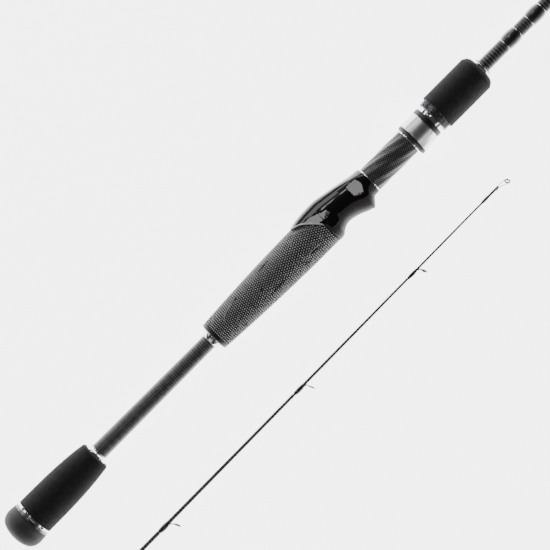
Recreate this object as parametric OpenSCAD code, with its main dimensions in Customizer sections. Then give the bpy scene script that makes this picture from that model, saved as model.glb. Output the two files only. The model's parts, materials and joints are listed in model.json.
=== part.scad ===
// Two-piece spinning rod, laid down with its two sections side by side.
// Millimetres. +X runs from the butt to the tip, +Z is up, and the reel side faces -Y.
// The origin is on the butt section's axis, at the very end of the butt cap.

/* [Sections] */
// Length of each section, end to end
section_length = 1020; // [850:10:1300]
// Length of the spigot on the butt section, which is also the socket's depth
ferrule_length = 60; // [40:1:90]
// Diameter of the spigot
spigot_d = 5.8; // [4.6:0.1:6.2]
// Clearance on the radius between the spigot and its socket
ferrule_clearance = 0.05; // [0.02:0.01:0.1]
// Wall of the tip section around its socket
ferrule_wall = 0.7; // [0.5:0.05:1.2]
// Blank diameter at the butt end
blank_butt_d = 12; // [11.4:0.1:12.6]
// Blank diameter where the middle grip starts
blank_mid_d = 10.06; // [9.6:0.02:10.8]
// Blank diameter in front of the foregrip
blank_front_d = 9; // [8:0.1:9.4]
// Height of the shoulder that stands over the spigot
shoulder_step = 0.2; // [0.1:0.05:0.6]
// Wall of the blank at its butt end
blank_wall = 1.1; // [0.7:0.1:1.4]
// Blank diameter at the very tip
tip_d = 1.1; // [0.9:0.05:1.4]
// Where the tip section's end lies, measured along the butt section
tip_reach = 374.6; // [200:1:480]
// Distance between the two axes at the tip section's end
section_gap = 59.3; // [52:0.1:90]
// Angle between the two sections as they lie
section_splay = 0.45; // [0:0.05:1.5]

/* [Butt] */
// Length of the rubber butt cap
butt_cap_length = 15; // [12:0.5:24]
// Largest diameter of the butt cap
butt_cap_d = 27.6; // [26.6:0.1:32]
// Length of each of the two metal rings in front of the cap
butt_ring_length = 1.8; // [1:0.1:3]
// Length of the foam butt grip
butt_grip_length = 53.6; // [40:0.5:80]
// Largest diameter of the butt grip
butt_grip_d = 26; // [22:0.1:27]
// How much the grip's radius falls towards its front
butt_grip_fall = 2.6; // [1:0.1:4]
// Length of the conical winding check
butt_check_length = 2.8; // [2:0.1:5]
// Length of bare blank between the butt grip and the middle grip
bare_blank_length = 96.7; // [60:0.5:140]

/* [Middle grip] */
// Length of the chrome double ring
grip_check_length = 3.3; // [2.5:0.1:5]
// Length of the black end cap
end_cap_length = 2.9; // [2:0.1:5]
// Length of the textured sleeve, to the seat's edge at the axis
sleeve_length = 94.6; // [80:0.5:130]
// Sleeve diameter at its rear end
sleeve_rear_d = 20.3; // [18:0.1:24]
// Largest diameter of the sleeve
sleeve_d = 26.6; // [26:0.1:28.4]
// Wall of the sleeve over the foam core
sleeve_wall = 1.3; // [0.8:0.1:2]

/* [Reel seat] */
// Length of the seat body, from its rear edge at the axis to its front face
seat_length = 39.4; // [38:0.2:44]
// Height of the seat's back over the barrel's surface
seat_rise = 6.85; // [6:0.05:8.2]
// Height of the fixed hood's lip over the barrel's surface
lip_rise = 5.35; // [4.6:0.05:6.4]
// Diameter of the carbon barrel that the reel foot lies on
barrel_d = 17.6; // [15:0.1:21]
// Thickness of the barrel over the threaded tube
barrel_wall = 1.3; // [1:0.05:1.6]
// Length of the carbon barrel
barrel_length = 33.6; // [28:0.2:44]
// Pitch of the thread
thread_pitch = 2; // [1:0.5:3]
// How far the moving hood opens
hood_travel = 16; // [8:1:17]
// Half the width of the pocket that takes a reel foot
foot_half_width = 6.2; // [5:0.1:6.4]

/* [Moving hood and nut] */
// Clearance on the radius between moving and fixed pieces
slide_clearance = 0.4; // [0.3:0.05:0.5]
// Length of the black liner's flange
liner_flange_length = 2.2; // [1.5:0.1:3]
// Length of the brushed sleeve
hood_length = 11.4; // [9:0.2:16]
// Thickness of the moving hood around the threaded tube
hood_thickness = 2.5; // [2.1:0.1:4]
// How far the sleeve bulges out over the reel foot
hood_bulge = 2.1; // [1.5:0.1:3]
// Length of the black collar
collar_length = 3.2; // [2.4:0.1:5]
// Length of the chrome neck
neck_length = 2.5; // [1.5:0.1:4]
// Length of the knurled nut
nut_length = 6; // [4:0.2:10]
// Thickness of the knurled nut over its insert
nut_wall = 2.1; // [1.6:0.1:3]
// Length of the foregrip
foregrip_length = 35.9; // [30:0.5:60]
// Diameter of the foregrip
foregrip_d = 24.9; // [22:0.1:26.5]
// Radius along the foregrip's rounded front
foregrip_round = 6; // [3:0.5:9]

/* [Guides] */
// Distance of each guide's ring from the tip, as a share of the section's length
guide_spots = [0.0765, 0.175, 0.2922, 0.4314, 0.598, 0.7941]; // [0.06:0.0001:0.85]
// Diameter of each ring over its frame
guide_sizes = [4.5, 4.6, 4.9, 7, 10, 16]; // [4:0.1:20]
// Height of each ring's middle over the blank's axis
guide_heights = [4.1, 4.4, 5.1, 7.2, 10, 16]; // [3.8:0.1:24]
// How far each guide is turned round the blank, in degrees
guide_turns = [28, 6, 3, 0, 0, 0]; // [0:1:40]
// Angle by which each ring leans towards the tip
guide_lean = 24; // [10:1:35]
// Bare blank between the stripper guide's front wrap and the spigot's wrap
stripper_gap = 5; // [2:0.5:60]
// Diameter of the stripper ring over its frame
stripper_d = 26; // [20:0.5:27]
// Height of the stripper ring's middle over the blank's axis
stripper_height = 25; // [20:0.5:32]
// Diameter of the tip top's ring over its frame
tip_top_d = 4; // [3.6:0.1:5]
// Height of the tip top's ring over the blank's axis
tip_top_height = 3.1; // [2.6:0.1:4]
// Angle by which the tip top's ring leans
tip_top_lean = 45; // [30:1:50]
// How far the tip top is turned round the blank
tip_top_turn = 58; // [0:1:60]

/* [Hidden] */
$fn = 64;
cut = 60;                       // larger than any cross-section of the rod
foam_color = [0.12, 0.12, 0.12];
black = [0.05, 0.05, 0.05];
carbon_color = [0.22, 0.22, 0.23];
steel_color = [0.75, 0.75, 0.77];
dark_metal = [0.3, 0.3, 0.31];
ceramic_color = [0.16, 0.16, 0.18];

// Stations along the butt section, each piece starting where the last one ends
x_dark_ring = butt_cap_length;
x_bright_ring = x_dark_ring + butt_ring_length;
x_butt_grip = x_bright_ring + butt_ring_length;
x_butt_check = x_butt_grip + butt_grip_length;
x_bare = x_butt_check + butt_check_length;
x_grip_check = x_bare + bare_blank_length;
x_end_cap = x_grip_check + grip_check_length;
x_sleeve = x_end_cap + end_cap_length;
x_seat = x_sleeve + sleeve_length;
x_seat_front = x_seat + seat_length;
trim_length = 0.8;
x_barrel = x_seat_front + trim_length;
x_barrel_ring = x_barrel + barrel_length;
x_thread_run = x_barrel_ring + trim_length;
hood_gap = 0.4;                 // between the closed hood and the barrel's end ring
x_liner = x_thread_run + hood_gap;
x_hood = x_liner + liner_flange_length;
x_hood_front = x_hood + hood_length;
swivel_gap = 0.2;               // between the hood and the nut's collar, which turns
x_collar = x_hood_front + swivel_gap;
x_neck = x_collar + collar_length;
x_nut = x_neck + neck_length;
x_nut_ring = x_nut + nut_length;
nut_ring_length = 0.7;
x_foregrip = x_nut_ring + nut_ring_length;
x_foregrip_front = x_foregrip + foregrip_length;
foregrip_check_length = 1.6;
foregrip_seal_length = 1;
x_foregrip_seal = x_foregrip_front + foregrip_check_length;
x_foregrip_end = x_foregrip_seal + foregrip_seal_length;
thread_end_gap = 0.6;           // between the threaded tube's end and the foregrip's shoulder
insert_end = x_foregrip_front - foregrip_round + 0.5;
thread_end = insert_end - thread_end_gap;
keeper_stand = 3.2;             // bare blank left in front of the opened foregrip
x_keeper = x_foregrip_end + hood_travel + keeper_stand;
x_shoulder = section_length - ferrule_length;

// Radii that several pieces share
blank_start = 6;
blank_end_wall = 0.75;
spigot_r = spigot_d / 2;
socket_r = spigot_r + ferrule_clearance;
ferrule_r = socket_r + ferrule_wall;
tail_length = 16.5;             // the seat's tail, inside the sleeve
tail_r = sleeve_r(1 - tail_length / sleeve_length) - sleeve_wall;
tail_glue = 0.05;               // glue line between the tail and the sleeve
tail_step = 2;                  // how far the tail reaches past the seat's rear edge
barrel_r = barrel_d / 2;
thread_r = barrel_r - barrel_wall;
core_r = barrel_r;              // the seat's core, inside the gloss shell
core_knee = 8.4;                // where the core reaches that radius, in front of the rear edge
thread_bore_r = thread_r - 1.1;
arbor_r = thread_bore_r + 0.6;  // bore of the seat body behind the threaded tube
thread_tail = 12;               // how far the threaded tube goes into the seat body
thread_depth = 0.5;
seat_back = barrel_r + seat_rise;
hood_lip = barrel_r + lip_rise;
hood_bore_r = thread_r + slide_clearance;
hood_r = hood_bore_r + hood_thickness;
hood_wall = 0.5;
liner_wall = 1.1;
bulge_r = hood_bore_r + 0.3;    // radius of the bulge over the reel foot
bulge_reach = hood_r + hood_bulge - bulge_r;
turn_clearance = 0.3;           // on the radius, between the nut's pieces and what they turn on
hood_tail_r = hood_bore_r + 0.7;        // the liner's tail, which the collar turns on
hood_tail_lip_r = hood_tail_r + 0.5;
hood_tail_length = 4;
hood_tail_lip_length = 0.8;
collar_bore_r = hood_tail_r + turn_clearance;
neck_bore_r = hood_tail_lip_r + turn_clearance;
insert_bore_r = thread_r + turn_clearance;
insert_r = insert_bore_r + 1.2;
nut_r = insert_r + nut_wall;
grip_bore_r = blank_front_d / 2 + 0.5;  // clears the blank, which the foregrip slides along
pocket_roof = 0.9;              // thickness of the lip over the fixed hood's pocket
pocket_r = hood_lip - pocket_roof;

// Points of a smooth curve through the given points, n for each stretch
function held(pts, i) = pts[max(0, min(len(pts) - 1, i))];
function spline(a, b, c, d, t) = b + (c - a) * t / 2 + (2 * a - 5 * b + 4 * c - d) * t * t / 2
    + (3 * b - a - 3 * c + d) * t * t * t / 2;
function smooth(pts, n) = concat(
    [for (i = [0 : len(pts) - 2]) for (k = [0 : n - 1])
        spline(held(pts, i - 1), pts[i], pts[i + 1], held(pts, i + 2), k / n)],
    [pts[len(pts) - 1]]);

// Outer radius of the butt section's blank at x
function blank_r(x) = lookup(x, [
    [blank_start, blank_butt_d / 2],
    [x_grip_check, blank_mid_d / 2],
    [x_foregrip_end, blank_front_d / 2],
    [x_shoulder, spigot_r + shoulder_step]]);

// Outer radius of the tip section's blank at a distance s from its end
tip_knee = 100;                 // the taper is a little quicker over the last 100 mm
tip_knee_r = 0.79;
socket_ramp = 6;                // over this length the blank swells to go round the socket
socket_shoulder = section_length - ferrule_length - socket_ramp;
function tip_r(s) = lookup(s, [
    [0, tip_d / 2],
    [tip_knee, tip_knee_r],
    [socket_shoulder, socket_r],
    [socket_shoulder + socket_ramp, ferrule_r],
    [section_length, ferrule_r]]);

// A solid turned about the X axis; the outline is a list of [x, radius]
module turned(outline) {
    rotate([0, 90, 0])
        rotate_extrude()
            polygon([for (p = outline) [p[1], p[0]]]);
}

module tube(x0, x1, outer, inner) {
    turned([[x0, inner], [x1, inner], [x1, outer], [x0, outer]]);
}

// A turned piece that sits on the butt blank; outer runs from rear to front
module on_blank(outer) {
    first = outer[0][0];
    last = outer[len(outer) - 1][0];
    turned(concat(outer, [[last, blank_r(last)], [first, blank_r(first)]]));
}

// The same for a piece of the tip section, in that section's own frame
module on_tip_blank(outer) {
    first = outer[0][0];
    last = outer[len(outer) - 1][0];
    turned(concat(outer, [[last, tip_r(-last)], [first, tip_r(-first)]]));
}

// Puts the tip section, drawn with its end at the origin, where it lies on the same surface
tip_axis_z = guide_sizes[5] / 2 + 0.6 - butt_cap_d / 2;
module lay_tip_section() {
    translate([tip_reach, -section_gap, tip_axis_z])
        rotate([0, 0, section_splay])
            children();
}

module strut(p, q, r) {
    d = q - p;
    translate(p)
        rotate([0, acos(d[2] / norm(d)), atan2(d[1], d[0])])
            cylinder(h = norm(d), r = r);
}

// ---------------------------------------------------------------- butt section

module butt_cap() {
    dome = smooth([[0, 0.01], [0.9, 6.2], [3.4, 11.4], [8.4, butt_cap_d / 2],
        [butt_cap_length, butt_cap_d / 2 - 0.4]], 4);
    socket = blank_r(blank_start);
    color(carbon_color)
        difference() {
            turned(concat(dome, [[butt_cap_length, 0.01]]));
            tube(blank_start, butt_cap_length + 1, socket, 0);
        }
}

module butt_cap_ring() {
    r = butt_cap_d / 2 - 0.6;
    color(dark_metal) on_blank([[x_dark_ring, r], [x_bright_ring, r - 0.1]]);
}

module butt_trim_ring() {
    r = butt_grip_d / 2 - 0.1;
    color(steel_color) on_blank([[x_bright_ring, r], [x_bright_ring + 0.3, r + 0.15],
        [x_butt_grip - 0.3, r + 0.15], [x_butt_grip, r]]);
}

module butt_grip() {
    round_length = 2;
    steps = 10;
    straight = butt_grip_length - round_length;
    function grip_r(t) = butt_grip_d / 2 - butt_grip_fall * pow(t, 3);
    side = [for (k = [0 : steps]) [x_butt_grip + straight * k / steps, grip_r(k / steps)]];
    nose = [for (a = [30 : 30 : 90])
        [x_butt_grip + straight + round_length * sin(a), grip_r(1) - round_length * (1 - cos(a))]];
    color(foam_color) on_blank(concat(side, nose));
}

module butt_winding_check() {
    r = blank_r(x_butt_check);
    color(steel_color) on_blank([[x_butt_check, r + 2.3], [x_butt_check + 1, r + 1.8],
        [x_bare - 0.9, r + 0.7], [x_bare, r + 0.3]]);
}

// The hollow blank, from inside the cap to the end of the spigot
module butt_blank() {
    knots = [blank_start, x_grip_check, x_foregrip_end];
    shoulder_ramp = 1;
    bore_r = spigot_r - blank_end_wall;
    outer = concat([for (x = knots) [x, blank_r(x)]],
        [[x_shoulder - shoulder_ramp, blank_r(x_shoulder - shoulder_ramp)]]);
    color(carbon_color)
        union() {
            turned(concat([[blank_start, blank_butt_d / 2 - blank_wall]], outer,
                [[x_shoulder, spigot_r], [x_shoulder, bore_r]]));
            tube(x_shoulder, section_length, spigot_r, bore_r);
        }
}

module rear_grip_check() {
    groove = 0.5;
    third = grip_check_length / 3;
    r0 = blank_r(x_grip_check) + 0.35;
    color(steel_color) on_blank([
        [x_grip_check, r0], [x_grip_check + third, r0 + 0.6],
        [x_grip_check + third, r0 + 0.2], [x_grip_check + third + groove, r0 + 0.3],
        [x_grip_check + third + groove, r0 + 0.8], [x_end_cap, r0 + 1.4]]);
}

module rear_grip_end_cap() {
    r = sleeve_rear_d / 2;
    color(black) on_blank(smooth([[x_end_cap, blank_r(x_end_cap) + 1.9], [x_end_cap + 0.4, r - 1],
        [x_end_cap + 1.1, r - 0.3], [x_sleeve, r - 0.1]], 3));
}

// The middle grip swells quickly at first and then runs level
function sleeve_r(t) = sleeve_rear_d / 2 + (sleeve_d - sleeve_rear_d) / 2 * (1 - pow(1 - min(1, t), 2));
function sleeve_side(inset, x_to, steps) = [for (k = [0 : steps])
    let (x = x_sleeve + (x_to - x_sleeve) * k / steps)
    [x, sleeve_r((x - x_sleeve) / sleeve_length) - inset]];

module rear_grip_core() {
    color(foam_color) on_blank(sleeve_side(sleeve_wall, x_seat - tail_length, 10));
}

// The seat's rear edge, seen from the side: it sweeps back over the grip's top
function seat_edge() = [for (p = smooth([
        [-18, 1.3], [-15.5, 1], [-9.9, 0.82], [-3.7, 0.38], [0, 0], [1.2, -0.7], [2.4, -1.1]], 3))
    [x_seat + p[0], sleeve_d / 2 * p[1]]];

// Everything in front of that edge, or behind it
module before_edge() {
    edge = seat_edge();
    translate([0, 0, -cut])
        linear_extrude(2 * cut)
            polygon(concat([[x_seat_front + cut, cut], [edge[0][0], cut]], edge,
                [[edge[len(edge) - 1][0], -cut], [x_seat_front + cut, -cut]]));
}

module rear_grip_sleeve() {
    edge_room = 5;
    color(dark_metal)
        difference() {
            turned(concat(sleeve_side(0, x_seat + edge_room, 12),
                [[x_seat + edge_room, tail_r]],
                [for (p = [12 : -1 : 0]) let (x = x_sleeve + sleeve_length * p / 12)
                    [x, min(tail_r, sleeve_r((x - x_sleeve) / sleeve_length) - sleeve_wall)]]));
            before_edge();
        }
}

// ---------------------------------------------------------------- reel seat

// Sections of the seat's form: [place, back, reel side, half-width]. The places run from the
// rear of the form to its front face and are stretched to the form's length.
form_reach = 17.6;              // how far the form reaches back past the seat's rear edge
seat_rows = smooth([
    [57, sleeve_d / 2 - 0.2, sleeve_d / 2, sleeve_d / 2 - 0.1],
    [52, seat_back - 1, sleeve_d / 2, sleeve_d / 2],
    [45.9, seat_back - 0.25, sleeve_d / 2, sleeve_d / 2],
    [39, seat_back, sleeve_d / 2 - 0.1, barrel_r + 4.3],
    [34.5, seat_back - 0.05, sleeve_d / 2 - 0.5, barrel_r + 4.1],
    [31.8, seat_back - 0.3, barrel_r + 2.1, barrel_r + 3.9],
    [28, seat_back - 0.9, barrel_r + 0.5, barrel_r + 3.5],
    [24, seat_back - 1.6, barrel_r + 0.45, barrel_r + 3.1],
    [18.3, seat_back - 2.6, barrel_r + 1.9, barrel_r + 2.5],
    [14, seat_back - 3.4, barrel_r + 3.7, barrel_r + 2.2],
    [10, seat_back - 4.2, hood_lip - 0.2, barrel_r + 2],
    [8.8, seat_back - 4.5, hood_lip, barrel_r + 1.9],
    [6.2, seat_back - 5, barrel_r + 2.7, barrel_r + 1.6],
    [3.8, seat_back - 5.3, barrel_r + 0.4, barrel_r + 1.2],
    [0, seat_back - 5.8, barrel_r + 0.15, barrel_r + 0.8]], 2);
function seat_sections() = [for (s = seat_rows)
    [x_seat_front - (seat_length + form_reach) * s[0] / seat_rows[0][0], s[1], s[2], s[3]]];

// One ring of the form: round on the back, squarer on the reel side
ring_points = 32;
function seat_ring(s) = [for (k = [0 : ring_points - 1])
    let (a = 360 * k / ring_points, c = cos(a), w = sin(a), p = c > 0 ? 1 : 0.78)
    [s[0], (c > 0 ? s[1] : s[2]) * sign(c) * pow(abs(c), p), s[3] * sign(w) * pow(abs(w), p)]];

module seat_form() {
    sections = seat_sections();
    n = len(sections);
    points = [for (s = sections) each seat_ring(s)];
    sides = [for (i = [0 : n - 2]) for (k = [0 : ring_points - 1])
        let (a = i * ring_points + k, b = i * ring_points + (k + 1) % ring_points)
        each [[a, b, b + ring_points], [a, b + ring_points, a + ring_points]]];
    rear = [[for (k = [ring_points - 1 : -1 : 0]) k]];
    front = [[for (k = [0 : ring_points - 1]) (n - 1) * ring_points + k]];
    polyhedron(points, concat(sides, rear, front), convexity = 6);
}

// Side view of the gloss shell: its lower edge steps along the body, at these
// hundredths of the seat's length
module shell_zone() {
    lower = smooth([[0, 0.5], [6.35, -4.3], [21.32, -4.6], [26.65, -0.8], [35.53, -1.5], [50.76, -1.9],
        [61.42, -3.1], [72.34, -5], [82.74, -6.2], [88.83, -3.4], [101.52, -1.2]], 2);
    translate([0, 0, -cut])
        linear_extrude(2 * cut)
            polygon(concat([[x_seat_front + 1, cut], [x_seat - cut / 2, cut],
                [x_seat - cut / 2, 0.5]], [for (p = lower) [x_seat + seat_length * p[0] / 100, p[1]]],
                [[x_seat_front + 1, -1.2]]));
}

// Outer surface of the seat's core, which carries the lower body and the gloss shell
module core_form() {
    r = tail_r - tail_glue;
    turned([[x_seat - tail_length, 0], [x_seat - tail_length, r], [x_seat + tail_step, r],
        [x_seat + core_knee, core_r], [x_seat_front, core_r - 0.6], [x_seat_front, 0]]);
}

module reel_seat_core() {
    color(black)
        difference() {
            core_form();
            tube(x_seat - tail_length - 1, x_seat_front + 1, arbor_r, 0);
            tube(x_seat_front - thread_tail, x_seat_front + 1, thread_r, 0);
        }
}

module reel_seat_shell() {
    color(black)
        difference() {
            intersection() {
                seat_form();
                before_edge();
                shell_zone();
            }
            core_form();
        }
}

// Pocket between the barrel's surface and the lip, open towards the tip
module foot_pocket() {
    intersection() {
        turned([[x_seat_front - 17.5, barrel_r], [x_seat_front + 1, barrel_r],
            [x_seat_front + 1, pocket_r], [x_seat_front - 10.6, pocket_r],
            [x_seat_front - 17.5, barrel_r + 1.3]]);
        translate([x_seat, -cut, -foot_half_width])
            cube([cut, cut, 2 * foot_half_width]);
    }
}

module reel_seat_body() {
    color(dark_metal)
        difference() {
            intersection() {
                seat_form();
                before_edge();
            }
            shell_zone();
            core_form();
            foot_pocket();
        }
}

module seat_arbor_rear() {
    x0 = x_seat - tail_length + 2;
    arbor_length = 22;
    color(foam_color) on_blank([[x0, arbor_r], [x0 + arbor_length, arbor_r]]);
}

module seat_arbor_front() {
    x0 = x_nut + 4;
    color(foam_color) on_blank([[x0, thread_bore_r], [thread_end - 4, thread_bore_r]]);
}

module seat_rear_trim() {
    color(steel_color) tube(x_seat_front, x_barrel, barrel_r + 0.05, thread_r);
}

module seat_barrel() {
    color(carbon_color) tube(x_barrel, x_barrel_ring, barrel_r, thread_r);
}

module barrel_end_ring() {
    color(steel_color) tube(x_barrel_ring, x_thread_run, barrel_r + 0.1, thread_r);
}

// The thread is a row of rings, because the nut runs on it with clearance
module seat_thread() {
    turns = floor((thread_end - x_thread_run - 1) / thread_pitch);
    crest = thread_pitch * 0.3;
    rings = [for (k = [0 : turns - 1]) let (x = x_thread_run + 0.5 + k * thread_pitch)
        each [[x, thread_r], [x + crest, thread_r], [x + thread_pitch / 2, thread_r - thread_depth],
            [x + thread_pitch - crest / 2, thread_r - thread_depth]]];
    x0 = x_seat_front - thread_tail;
    color(black) turned(concat([[x0, thread_bore_r], [x0, thread_r]], rings,
        [[thread_end, thread_r - thread_depth], [thread_end, thread_bore_r]]));
}

// ---------------------------------------------------------------- moving hood

// How far the middle of the bulge lies from the axis; it sinks towards the tip
function bulge_at(x) = bulge_reach - 1.4 * (x - x_liner) / (x_hood_front - x_liner);

// The hood's outer form between two stations, round with a bulge over the reel foot
module hood_form(x0, x1, inset) {
    disc = 0.5;
    hull() {
        rotate([0, 90, 0])
            translate([0, 0, x0])
                cylinder(h = x1 - x0, r = hood_r - inset, $fn = 48);
        for (x = [x0, x1 - disc])
            translate([x, -bulge_at(x + disc), 0])
                rotate([0, 90, 0])
                    cylinder(h = disc, r = bulge_r - inset, $fn = 48);
    }
}

// The pocket in the moving hood narrows towards the tip
module hood_pocket() {
    taper = 1.6;
    r = bulge_r - liner_wall;
    translate([x_liner - 1, -bulge_reach, 0])
        rotate([0, 90, 0])
            cylinder(h = hood_length + 1, r1 = r, r2 = r - taper);
}

module hood_liner() {
    tail_end = x_hood_front + hood_tail_length;
    color(black)
        difference() {
            union() {
                hood_form(x_liner, x_hood, 0.1);
                hood_form(x_hood - 0.1, x_hood_front, hood_wall);
                tube(x_hood_front - 1, tail_end, hood_tail_r, hood_bore_r);
                tube(tail_end - hood_tail_lip_length, tail_end, hood_tail_lip_r, hood_bore_r);
            }
            tube(x_liner - 1, tail_end + 1, hood_bore_r, 0);
            hood_pocket();
        }
}

module hood_sleeve() {
    color(steel_color)
        difference() {
            hood_form(x_hood, x_hood_front, 0);
            hood_form(x_hood - 1, x_hood_front + 1, hood_wall);
        }
}

// ---------------------------------------------------------------- lock nut and foregrip

module nut_collar() {
    step = x_hood_front + hood_tail_length - hood_tail_lip_length - 0.3;
    r = nut_r - 0.4;
    color(black) turned([[x_collar, collar_bore_r], [step, collar_bore_r], [step, neck_bore_r],
        [x_neck, neck_bore_r], [x_neck, r], [x_collar, r]]);
}

module nut_neck_ring() {
    r = nut_r - 0.9;
    color(steel_color) turned([[x_neck, neck_bore_r], [x_nut, neck_bore_r], [x_nut, r],
        [x_neck + neck_length / 2, r - 0.2], [x_neck, r]]);
}

module lock_nut() {
    ribs = 40;
    rib_end = 0.6;
    color(dark_metal)
        difference() {
            tube(x_nut, x_nut_ring, nut_r, insert_r);
            for (k = [0 : ribs - 1])
                rotate([360 * k / ribs, 0, 0])
                    translate([x_nut + rib_end, -nut_r, 0])
                        rotate([0, 90, 0])
                            cylinder(h = nut_length - 2 * rib_end, r = 0.3, $fn = 16);
        }
}

module nut_insert() {
    color(black) tube(x_nut, insert_end, insert_r, insert_bore_r);
}

module foregrip_trim_ring() {
    color(steel_color) tube(x_nut_ring, x_foregrip, nut_r - 0.4, insert_r);
}

module foregrip() {
    r = foregrip_d / 2;
    nose_r = grip_bore_r + 2.9;
    shoulder = x_foregrip_front - foregrip_round;
    nose = [for (a = [0 : 15 : 90]) [shoulder + foregrip_round * sin(a), nose_r + (r - nose_r) * cos(a)]];
    color(foam_color) turned(concat(
        [[x_foregrip, insert_r], [x_foregrip, r - 0.3], [x_foregrip + 0.5, r]], nose,
        [[x_foregrip_front, grip_bore_r], [insert_end, grip_bore_r], [insert_end, insert_r]]));
}

module foregrip_check() {
    color(steel_color) turned([[x_foregrip_front, grip_bore_r], [x_foregrip_seal, grip_bore_r],
        [x_foregrip_seal, grip_bore_r + 1.6], [x_foregrip_front, grip_bore_r + 2.4]]);
}

module foregrip_seal() {
    color(black) turned([[x_foregrip_seal, grip_bore_r], [x_foregrip_end, grip_bore_r],
        [x_foregrip_end, grip_bore_r + 0.7], [x_foregrip_seal, grip_bore_r + 1.4]]);
}

// ---------------------------------------------------------------- thread wraps and hook keeper

// Outline of an epoxied thread wrap, from rear to front, over a blank of radius r0 to r1
function wrap_side(x0, x1, r0, r1, low, high) = [for (k = [0 : 8]) let (t = k / 8)
    [x0 + (x1 - x0) * t, r0 + (r1 - r0) * t + low + (high - low) * pow(sin(180 * t), 0.8)]];

band_length = 0.5;
band_rise = 0.14;               // how far a trim band stands over the blank
wrap_low = 0.12;                // the same for a wrap's ends
keeper_wrap_high = 0.7;
keeper_band_depth = 0.2;        // how deep the middle band lies in its wrap
keeper_wrap_length = 10.6;
keeper_gap = 10.4;
keeper_wire_r = 0.35;
x_keeper_front = x_keeper + keeper_wrap_length + keeper_gap;
keeper_axis = blank_r(x_keeper) + keeper_wire_r;

module keeper_wire() {
    loop_r = 4.2;
    leg = 1.4;
    foot = 7;
    middle = x_keeper + keeper_wrap_length + keeper_gap / 2;
    translate([middle, 0, -keeper_axis - leg])
        rotate([-90, 0, 0])
            rotate_extrude(angle = 180)
                translate([loop_r, 0])
                    circle(r = keeper_wire_r, $fn = 16);
    for (side = [-1, 1]) {
        strut([middle + side * loop_r, 0, -keeper_axis - leg],
            [middle + side * loop_r, 0, -keeper_axis], keeper_wire_r);
        strut([middle + side * loop_r, 0, -keeper_axis],
            [middle + side * (loop_r + foot), 0, -keeper_axis], keeper_wire_r);
    }
}

module hook_keeper() {
    color(steel_color) keeper_wire();
}

// A band round the middle of a keeper wrap, out to the radius r
module keeper_band(x0, r) {
    middle = x0 + keeper_wrap_length / 2;
    tube(middle - band_length / 2, middle + band_length / 2, r,
        blank_r(x0) + keeper_wrap_high - keeper_band_depth);
}

module keeper_wrap(x0) {
    x1 = x0 + keeper_wrap_length;
    color(black)
        difference() {
            on_blank(wrap_side(x0, x1, blank_r(x0), blank_r(x1), wrap_low, keeper_wrap_high));
            keeper_wire();
            keeper_band(x0, cut);
        }
}

module keeper_wrap_rear() {
    keeper_wrap(x_keeper);
}

module keeper_wrap_front() {
    keeper_wrap(x_keeper_front);
}

// A band on the bare blank, from x on
module blank_band(x) {
    on_blank([[x, blank_r(x) + band_rise], [x + band_length, blank_r(x) + band_rise]]);
}

module keeper_trim_bands() {
    color(steel_color)
        difference() {
            for (x0 = [x_keeper, x_keeper_front]) {
                keeper_band(x0, blank_r(x0) + keeper_wrap_high + 0.02);
                for (x = [x0 - band_length, x0 + keeper_wrap_length])
                    blank_band(x);
            }
            keeper_wire();
        }
}

// ---------------------------------------------------------------- guides

function frame_wall(d) = 0.25 + 0.03 * d;
function insert_wall(d) = 0.45 + 0.06 * d;
function frame_depth(d) = 0.5 + 0.06 * d;
function foot_thickness(d) = 0.3 + 0.02 * d;
function foot_width(d) = 0.8 + 0.08 * d;
function foot_length(d) = 5 + 0.5 * d;
function wrap_length(d) = foot_length(d) + 1.2;
function is_double(d) = d > 12;
function rear_reach(d, h) = (is_double(d) ? 0.9 : 0.45) * h;
function front_reach(h) = 0.28 * h;

// Moves a ring, drawn about the X axis, to its place beside the blank
module ring_place(x, h, turn, lean) {
    rotate([-turn, 0, 0])
        translate([x, -h, 0])
            rotate([0, 0, lean])
                children();
}

// A point of the ring's frame, at an angle from the point nearest the blank
function rim(x, h, d, lean, a) = let (r = d / 2 - frame_wall(d) / 4)
    [x - r * cos(a) * sin(lean), -h + r * cos(a) * cos(lean), r * sin(a)];

// A foot hugs the blank's reel side from x0 to x1; the slot for it reaches in to the axis
module guide_foot(x0, x1, r, d, inner) {
    intersection() {
        tube(x0, x1, r + foot_thickness(d), inner);
        translate([x0 - 1, -cut, -foot_width(d) / 2])
            cube([x1 - x0 + 2, cut, foot_width(d)]);
    }
}

module guide_feet(x, r, d, h, inner) {
    x1 = x - rear_reach(d, h);
    guide_foot(x1 - foot_length(d), x1, r, d, inner);
    if (is_double(d))
        guide_foot(x + front_reach(h), x + front_reach(h) + foot_length(d), r, d, inner);
}

// A guide's frame: feet, wire legs and the band that holds the ring.
// x is the ring's station and r the radius of the blank under the feet.
module guide_frame(x, r, d, h, lean, turn) {
    wire = frame_wall(d) * 0.7;
    foot_y = -r - foot_thickness(d) / 2;
    spread = foot_width(d) / 2 - wire / 2;
    rear = x - rear_reach(d, h) - wire;
    color(dark_metal)
        rotate([-turn, 0, 0]) {
            guide_feet(x, r, d, h, r);
            ring_place(x, h, 0, lean)
                tube(-frame_depth(d) / 2, frame_depth(d) / 2, d / 2, d / 2 - frame_wall(d));
            for (side = [-1, 1])
                strut([rear, foot_y, side * spread], rim(x, h, d, lean, side * 70), wire);
            if (is_double(d))
                for (side = [-1, 1])
                    strut([x + front_reach(h) + wire, foot_y, side * spread / 2],
                        rim(x, h, d, lean, side * 15), wire);
        }
}

// A guide's ceramic ring, rounded where the line runs
module guide_ring(x, d, h, lean, turn) {
    outer = d / 2 - frame_wall(d);
    bore = outer - insert_wall(d);
    half = frame_depth(d) / 2 + 0.15;
    color(ceramic_color)
        ring_place(x, h, turn, lean)
            turned(concat([[half, outer], [-half, outer]],
                [for (a = [-90 : 30 : 90]) [half * sin(a), bore + (outer - bore) * 0.6 * (1 - cos(a))]]));
}

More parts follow.
